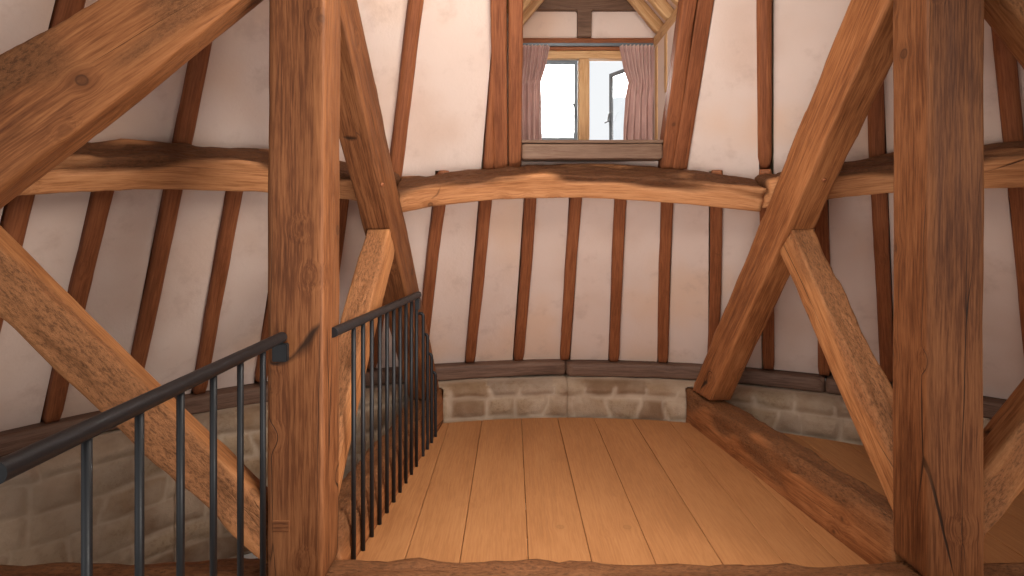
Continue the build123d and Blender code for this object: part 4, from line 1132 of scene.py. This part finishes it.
# %% Read the bars' feet from the CAD, and make the rails
RAIL_R = 0.018
BALUSTER_R = 0.009
HOOK_BEND = 0.016
PLATE_HALF = 0.025                            # half the width of the plate at the rail's end
PLATE_TALL = 0.060
PLATE_THICK = 0.024


def feet_of(points):
    """Middles of the round bar ends on the lowest level."""
    low = points[points[:, 2] < points[:, 2].min() + 0.001]
    left, found = list(low), []
    while left:
        near = [p for p in left if math.dist(p, left[0]) < 3 * BALUSTER_R]
        left = [p for p in left if math.dist(p, near[0]) >= 3 * BALUSTER_R]
        found.append(np.mean([np.min(near, axis=0), np.max(near, axis=0)], axis=0))
    return np.array(found)


def eased_block(middle, size, ease):
    """A block with eased arrises, as (points, faces)."""
    bm = bmesh.new()
    bmesh.ops.create_cube(bm, size=1.0, matrix=Matrix.Translation(middle) @ Matrix.Diagonal((*size, 1)))
    bmesh.ops.bevel(bm, geom=bm.edges[:], offset=ease, segments=2, affect="EDGES")
    return as_arrays(bm)


def iron_railing(node):
    solids = sorted(shells(node), key=lambda shell: -len(shell[0]))
    points = solids[0][0]
    feet = feet_of(points)
    rail_z = points[:, 2].max() - RAIL_R
    line = points[points[:, 2] > rail_z - RAIL_R * 0.5]
    along = np.linalg.svd(feet - feet.mean(0))[2][0]
    along = along if along[1] > 0 else -along
    reach = (line - feet[0]) @ along
    # A bar's foot fixes the rail's line. The rail's own points fix its two ends.
    ends = [feet[0] + along * r for r in (reach.min(), reach.max())]
    for point in ends:
        point[2] = rail_z
    parts = [grown(node + "_rail", marker_mesh("rail", ends, [(0, 1)]), bent_bar, Bar_radius=RAIL_R,
                   Bend_radius=0.0, Sides=28, Material=BLACK_IRON),
             grown(node + "_bars", marker_mesh("feet", feet, height=[rail_z - f[2] for f in feet]),
                   upright, Bar_radius=BALUSTER_R, Material=BLACK_IRON)]
    hooks, edges = [], []
    for solid, _ in solids[1:]:
        foot = feet_of(solid)[0]
        top = solid[:, 2].max() - BALUSTER_R
        high = solid[solid[:, 2] > top]
        far = high[np.argmax(np.hypot(*(high - foot)[:, :2].T))]
        out = (far - foot) - ((far - foot) @ along) * along
        start = len(hooks)
        hooks += [foot, (foot[0], foot[1], top), (foot[0] + out[0], foot[1] + out[1], top)]
        edges += [(start, start + 1), (start + 1, start + 2)]
    if hooks:
        parts.append(grown(node + "_hooks", marker_mesh("hooks", hooks, edges), bent_bar,
                           Bar_radius=BALUSTER_R, Bend_radius=HOOK_BEND, Material=BLACK_IRON))
    return parts, ends


for node in ("railing_back", "railing_front"):
    parts, ends = iron_railing(node)
    # A flat plate holds the rail's end to the timber.
    x, y, z = ends[1]
    wide, deep = (2 * PLATE_HALF, PLATE_THICK) if node == "railing_front" else (PLATE_THICK, 2 * PLATE_HALF)
    block = eased_block((x, y - deep / 2, z - RAIL_R - 0.03), (wide, deep, PLATE_TALL), 0.003)
    parts.append(add_piece(node + "_plate", *block, BLACK_IRON, smooth=False))
    whole = one_object(parts)
    whole.name = node + "_iron"
    takes_over(whole, node)
    print(node, len(whole.data.polygons), "faces, ends", [tuple(round(v, 3) for v in e) for e in ends])

# %% [markdown]
# ## Casement fasteners
# Each casement has a cockspur fastener on its free stile: a small plate, a lever to turn it
# by and a nose that catches on the frame. Lever and nose are forged from round bar, so the
# bent bar tree makes them. The free stile is found on the CAD leaf, so the fastener of the
# open casement turns with it.

# %% Plates, levers and noses
RIGHT_OPEN = math.radians(62)
FREE_STILE = 0.011                            # from the leaf's edge to the stile's middle
FASTENER_AT = 0.36                            # share of the leaf's height
LEAVES = [   # leaf, the way to its hinge, the way to the room, where its nose points
    ("casement_left", (-1, 0, 0), (0, -1, 0), (0.003, 0.018, -0.034)),
    ("casement_right", (math.cos(RIGHT_OPEN), -math.sin(RIGHT_OPEN), 0),
     (-math.sin(RIGHT_OPEN), -math.cos(RIGHT_OPEN), 0), (-0.036, 0.018, -0.006))]


def fastener(node, hinge_way, room_way, nose):
    axes = np.array([hinge_way, room_way, UP], float)
    local = np.concatenate([points for points, _ in shells(node)]) @ axes.T
    low = local.min(0)
    start = np.array([low[0] + FREE_STILE, local[:, 1].max(), low[2] + FASTENER_AT * np.ptp(local[:, 2])])
    path = [(0, -0.001, 0), (0, 0.020, 0), (0.016, 0.024, 0.042), (0.044, 0.022, 0.060), (0, 0.016, 0), nose]
    links = [(0, 1), (1, 2), (2, 3), (4, 5)]  # the lever, and then the nose
    bars = grown(node + "_lever", marker_mesh("lever", (start + path) @ axes, links), bent_bar,
                 Bar_radius=0.0045, Bend_radius=0.008, Sides=10, Material=GREY_METAL)
    corners, rings = eased_block((0, 0, 0), (0.018, 0.005, 0.060), 0.0015)
    if np.linalg.det(axes) < 0:               # such axes turn the block inside out
        rings = [ring[::-1] for ring in rings]
    back = add_piece(node + "_fastener", (corners + start + (0, 0.0015, 0)) @ axes, rings, GREY_METAL,
                     smooth=False)
    one_object([back, bars])
    return back


for leaf in LEAVES:
    made = fastener(*leaf)
    print(made.name, len(made.data.polygons), "faces")

# %% [markdown]
# ## Curtains
# Each curtain is one sheet, gathered on its track, caught in at the waist and flared at the
# foot. Many narrow folds at the top give way to fewer and deeper ones towards the foot, and
# small ripples are pinched in at the header and at the waist.


# %% The finish of the cloth
def cloth_material():
    mat = new_material("curtain_cloth", Sheen_Weight=0.25, Sheen_Roughness=0.5, Specular_IOR_Level=0.15)
    tree = mat.node_tree
    spot = put(tree, "ShaderNodeTexCoord", out="UV")
    warp, weft = [put(tree, "ShaderNodeTexWave", out="Fac", Vector=spot, bands_direction=way,
                      Scale=140.0, Distortion=0.6, Detail=1.0) for way in "XY"]
    weave = warp * weft
    fade = noise(spot, 5.0, 4.0, 0.5)
    colour = ramp(fade, [(0.35, (0.42, 0.235, 0.200)), (0.65, (0.52, 0.305, 0.260))], smooth=True)
    colour = blend(weave * 0.25, colour, (0.34, 0.18, 0.15))
    point = pointiness(tree)
    # Painted shade: the hollows of the folds, found by pointiness, are darkened.
    colour = blend(ramp(point, [(0.40, grey(0.75)), (0.495, BLACK)]), colour, (0.15, 0.065, 0.052))
    # Painted highlight: the crests of the folds are lightened.
    colour = blend(ramp(point, [(0.505, BLACK), (0.60, grey(0.6))]), colour, (0.72, 0.50, 0.42))
    return finish_material(mat, colour, weave * 0.1 + 0.82, weave, depth=0.0006, strength=0.5)


CLOTH = cloth_material()

# %% Hang the curtains
DROP_STEPS = 60
ACROSS_STEPS = 140
HEADER, WAIST = 0.05, 0.36                    # shares of the drop
FOLD_DEEP = 0.024
CLOTH_THICK = 0.0012
NEAR_FOLDS, FAR_FOLDS, RIPPLES = 9, 4.6, 21   # how many across the curtain
CURTAIN_WIDTHS = {-1: (0.213, 0.206, 0.184, 0.154, 0.158, 0.160, 0.164),
                  1: (0.213, 0.208, 0.188, 0.158, 0.174, 0.188, 0.192)}


def curtain(side):
    """A gathered sheet between the CAD solid's corners."""
    lo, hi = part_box("curtain_left" if side < 0 else "curtain_right")
    edge = lo.x if side < 0 else hi.x
    mid_y = hi.y - FOLD_DEEP - 0.004
    points, uvs = [], []
    for j in range(DROP_STEPS + 1):
        v = j / DROP_STEPS
        z = hi.z + (lo.z - hi.z) * v
        width = np.interp(v, (0, HEADER, 0.22, WAIST, 0.50, 0.80, 1), CURTAIN_WIDTHS[side])
        high = np.interp(v, (0, HEADER, 0.25, WAIST, 0.45, 1), (0.75, 0.55, 0.55, 0.30, 0.20, 0.08))
        broad = np.interp(v, (0, 0.25, WAIST, 0.45, 0.75, 1), (0.10, 0.25, 0.15, 0.55, 0.90, 1.0))
        pinch = math.exp(-((v - WAIST) / 0.022) ** 2) + 0.8 * math.exp(-((v - HEADER) / 0.012) ** 2)
        for i in range(ACROSS_STEPS + 1):
            u = i / ACROSS_STEPS
            wobble = 0.4 * math.sin(5.0 * v + 4.0 * u + side)
            near = 2 * math.pi * NEAR_FOLDS * u + wobble
            far = 2 * math.pi * (FAR_FOLDS * u + 0.10 * math.sin(3.5 * v + side)) + wobble
            ripple = 0.16 * math.sin(2 * math.pi * RIPPLES * u) * pinch
            sway = FOLD_DEEP * (high * math.sin(near) + broad * math.sin(far) + ripple) * (1 - 0.35 * pinch)
            lean = 0.30 * width * (high * math.sin(2 * near) / NEAR_FOLDS
                                   + broad * math.sin(2 * far) / FAR_FOLDS)
            fade = min(1.0, 8 * u * (1 - u))
            x = edge - side * (width * u + lean * fade)
            points.append((x, mid_y - sway, z + 0.004 * math.sin(far) * v))
            uvs.append((u * 0.55, v * 0.62))
    row = ACROSS_STEPS + 1
    faces = [[j * row + i, j * row + i + 1, (j + 1) * row + i + 1, (j + 1) * row + i]
             for j in range(DROP_STEPS) for i in range(ACROSS_STEPS)]
    return np.array(points), faces, uvs


for side, name in ((-1, "left"), (1, "right")):
    points, faces, uvs = curtain(side)
    obj = add_piece("curtain_cloth_" + name, points, faces, CLOTH)
    layer = obj.data.uv_layers.new(name="UVMap")
    for loop in obj.data.loops:
        layer.data[loop.index].uv = uvs[loop.vertex_index]
    obj.modifiers.new("thickness", "SOLIDIFY").thickness = CLOTH_THICK
    lo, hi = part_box("curtain_" + name)
    takes_over(obj, "curtain_" + name)

# %% [markdown]
# ## Floor, light and camera
# The camera stands in the open half of the room, 1.3 m above the boards and level, with a
# wide lens. The horizon of the picture is above its middle, and a small downward shift of
# the lens gives that without tilting the posts. Most of the light comes from the open side.

# %% Studio floor
studio_finish = new_material("studio_floor", Roughness=0.9, Base_Color=(0.8, 0.79, 0.77, 1))
bpy.ops.mesh.primitive_plane_add(size=80, location=(0, 0, -0.002))
studio = bpy.context.object
studio.name = "studio_floor"
studio.data.materials.append(studio_finish)

# %% Lights and world
ROOM = Vector((0, AXIS_Y, FLOOR_Z))
LIGHTS = [   # name, place and target from the middle of the room's floor, size, watts, colour
    ("top", (-0.2, 0.85, 2.5), (-0.2, 2.6, 0.7), 0.9, 36, (1.0, 0.95, 0.88)),
    ("bounce", (-0.2, 0.75, 0.9), (-0.3, 2.7, 1.25), 1.3, 18, (1.0, 0.96, 0.92)),
    ("key", (6.5, -3.7, 4.0), (-0.6, 1.6, 0.9), 2.8, 400, (1.0, 0.92, 0.83)),
    ("fill", (-4.0, -5.5, 2.2), (0, 1.6, 1.0), 4.0, 60, (0.97, 0.98, 1.0)),
    ("window", (0.07, 4.3, 2.6), (0.07, 2.0, 1.9), 0.9, 90, (1.0, 0.97, 0.92)),
    ("back", (2.0, 9.0, 6.0), (0, 2.0, 2.0), 5.0, 500, WHITE),
]
for name, spot, target, size, power, tint in LIGHTS:
    lamp = bpy.data.lights.new(name, "AREA")
    lamp.size = size
    lamp.energy = power
    lamp.color = tint
    obj = bpy.data.objects.new(name, lamp)
    start, aim = ROOM + Vector(spot), ROOM + Vector(target)
    obj.location = start
    obj.rotation_euler = (aim - start).to_track_quat("-Z", "Y").to_euler()
    SCENE.collection.objects.link(obj)

world = bpy.data.worlds.new("studio")
SCENE.world = world
world.use_nodes = True
sky = world.node_tree
ray = put(sky, "ShaderNodeLightPath", out="Is Camera Ray")
seen = maths("MAXIMUM", ray, ray.beside("Is Glossy Ray"))
seen = maths("MAXIMUM", seen, ray.beside("Is Transmission Ray"))
backdrop = sky.nodes["Background"].inputs
connect(sky, seen * 0.65 + 0.30, backdrop["Strength"])
backdrop["Color"].default_value = (0.96, 0.98, 1.0, 1)

# %% Camera
PICTURE_WIDTH = 1024                          # pixels
FOCAL = 590                                   # pixels
HORIZON_UP = 60                               # pixels from the picture's middle

lens = bpy.data.cameras.new("camera")
lens.lens = FOCAL / PICTURE_WIDTH * lens.sensor_width
lens.shift_y = -HORIZON_UP / PICTURE_WIDTH
lens.clip_start = 0.05
camera = bpy.data.objects.new("camera", lens)
camera.location = ROOM + Vector((-0.385, -0.97, 1.30))
camera.rotation_euler = (math.pi / 2, 0, 0)
SCENE.collection.objects.link(camera)
SCENE.camera = camera
SCENE.view_settings.view_transform = "Standard"
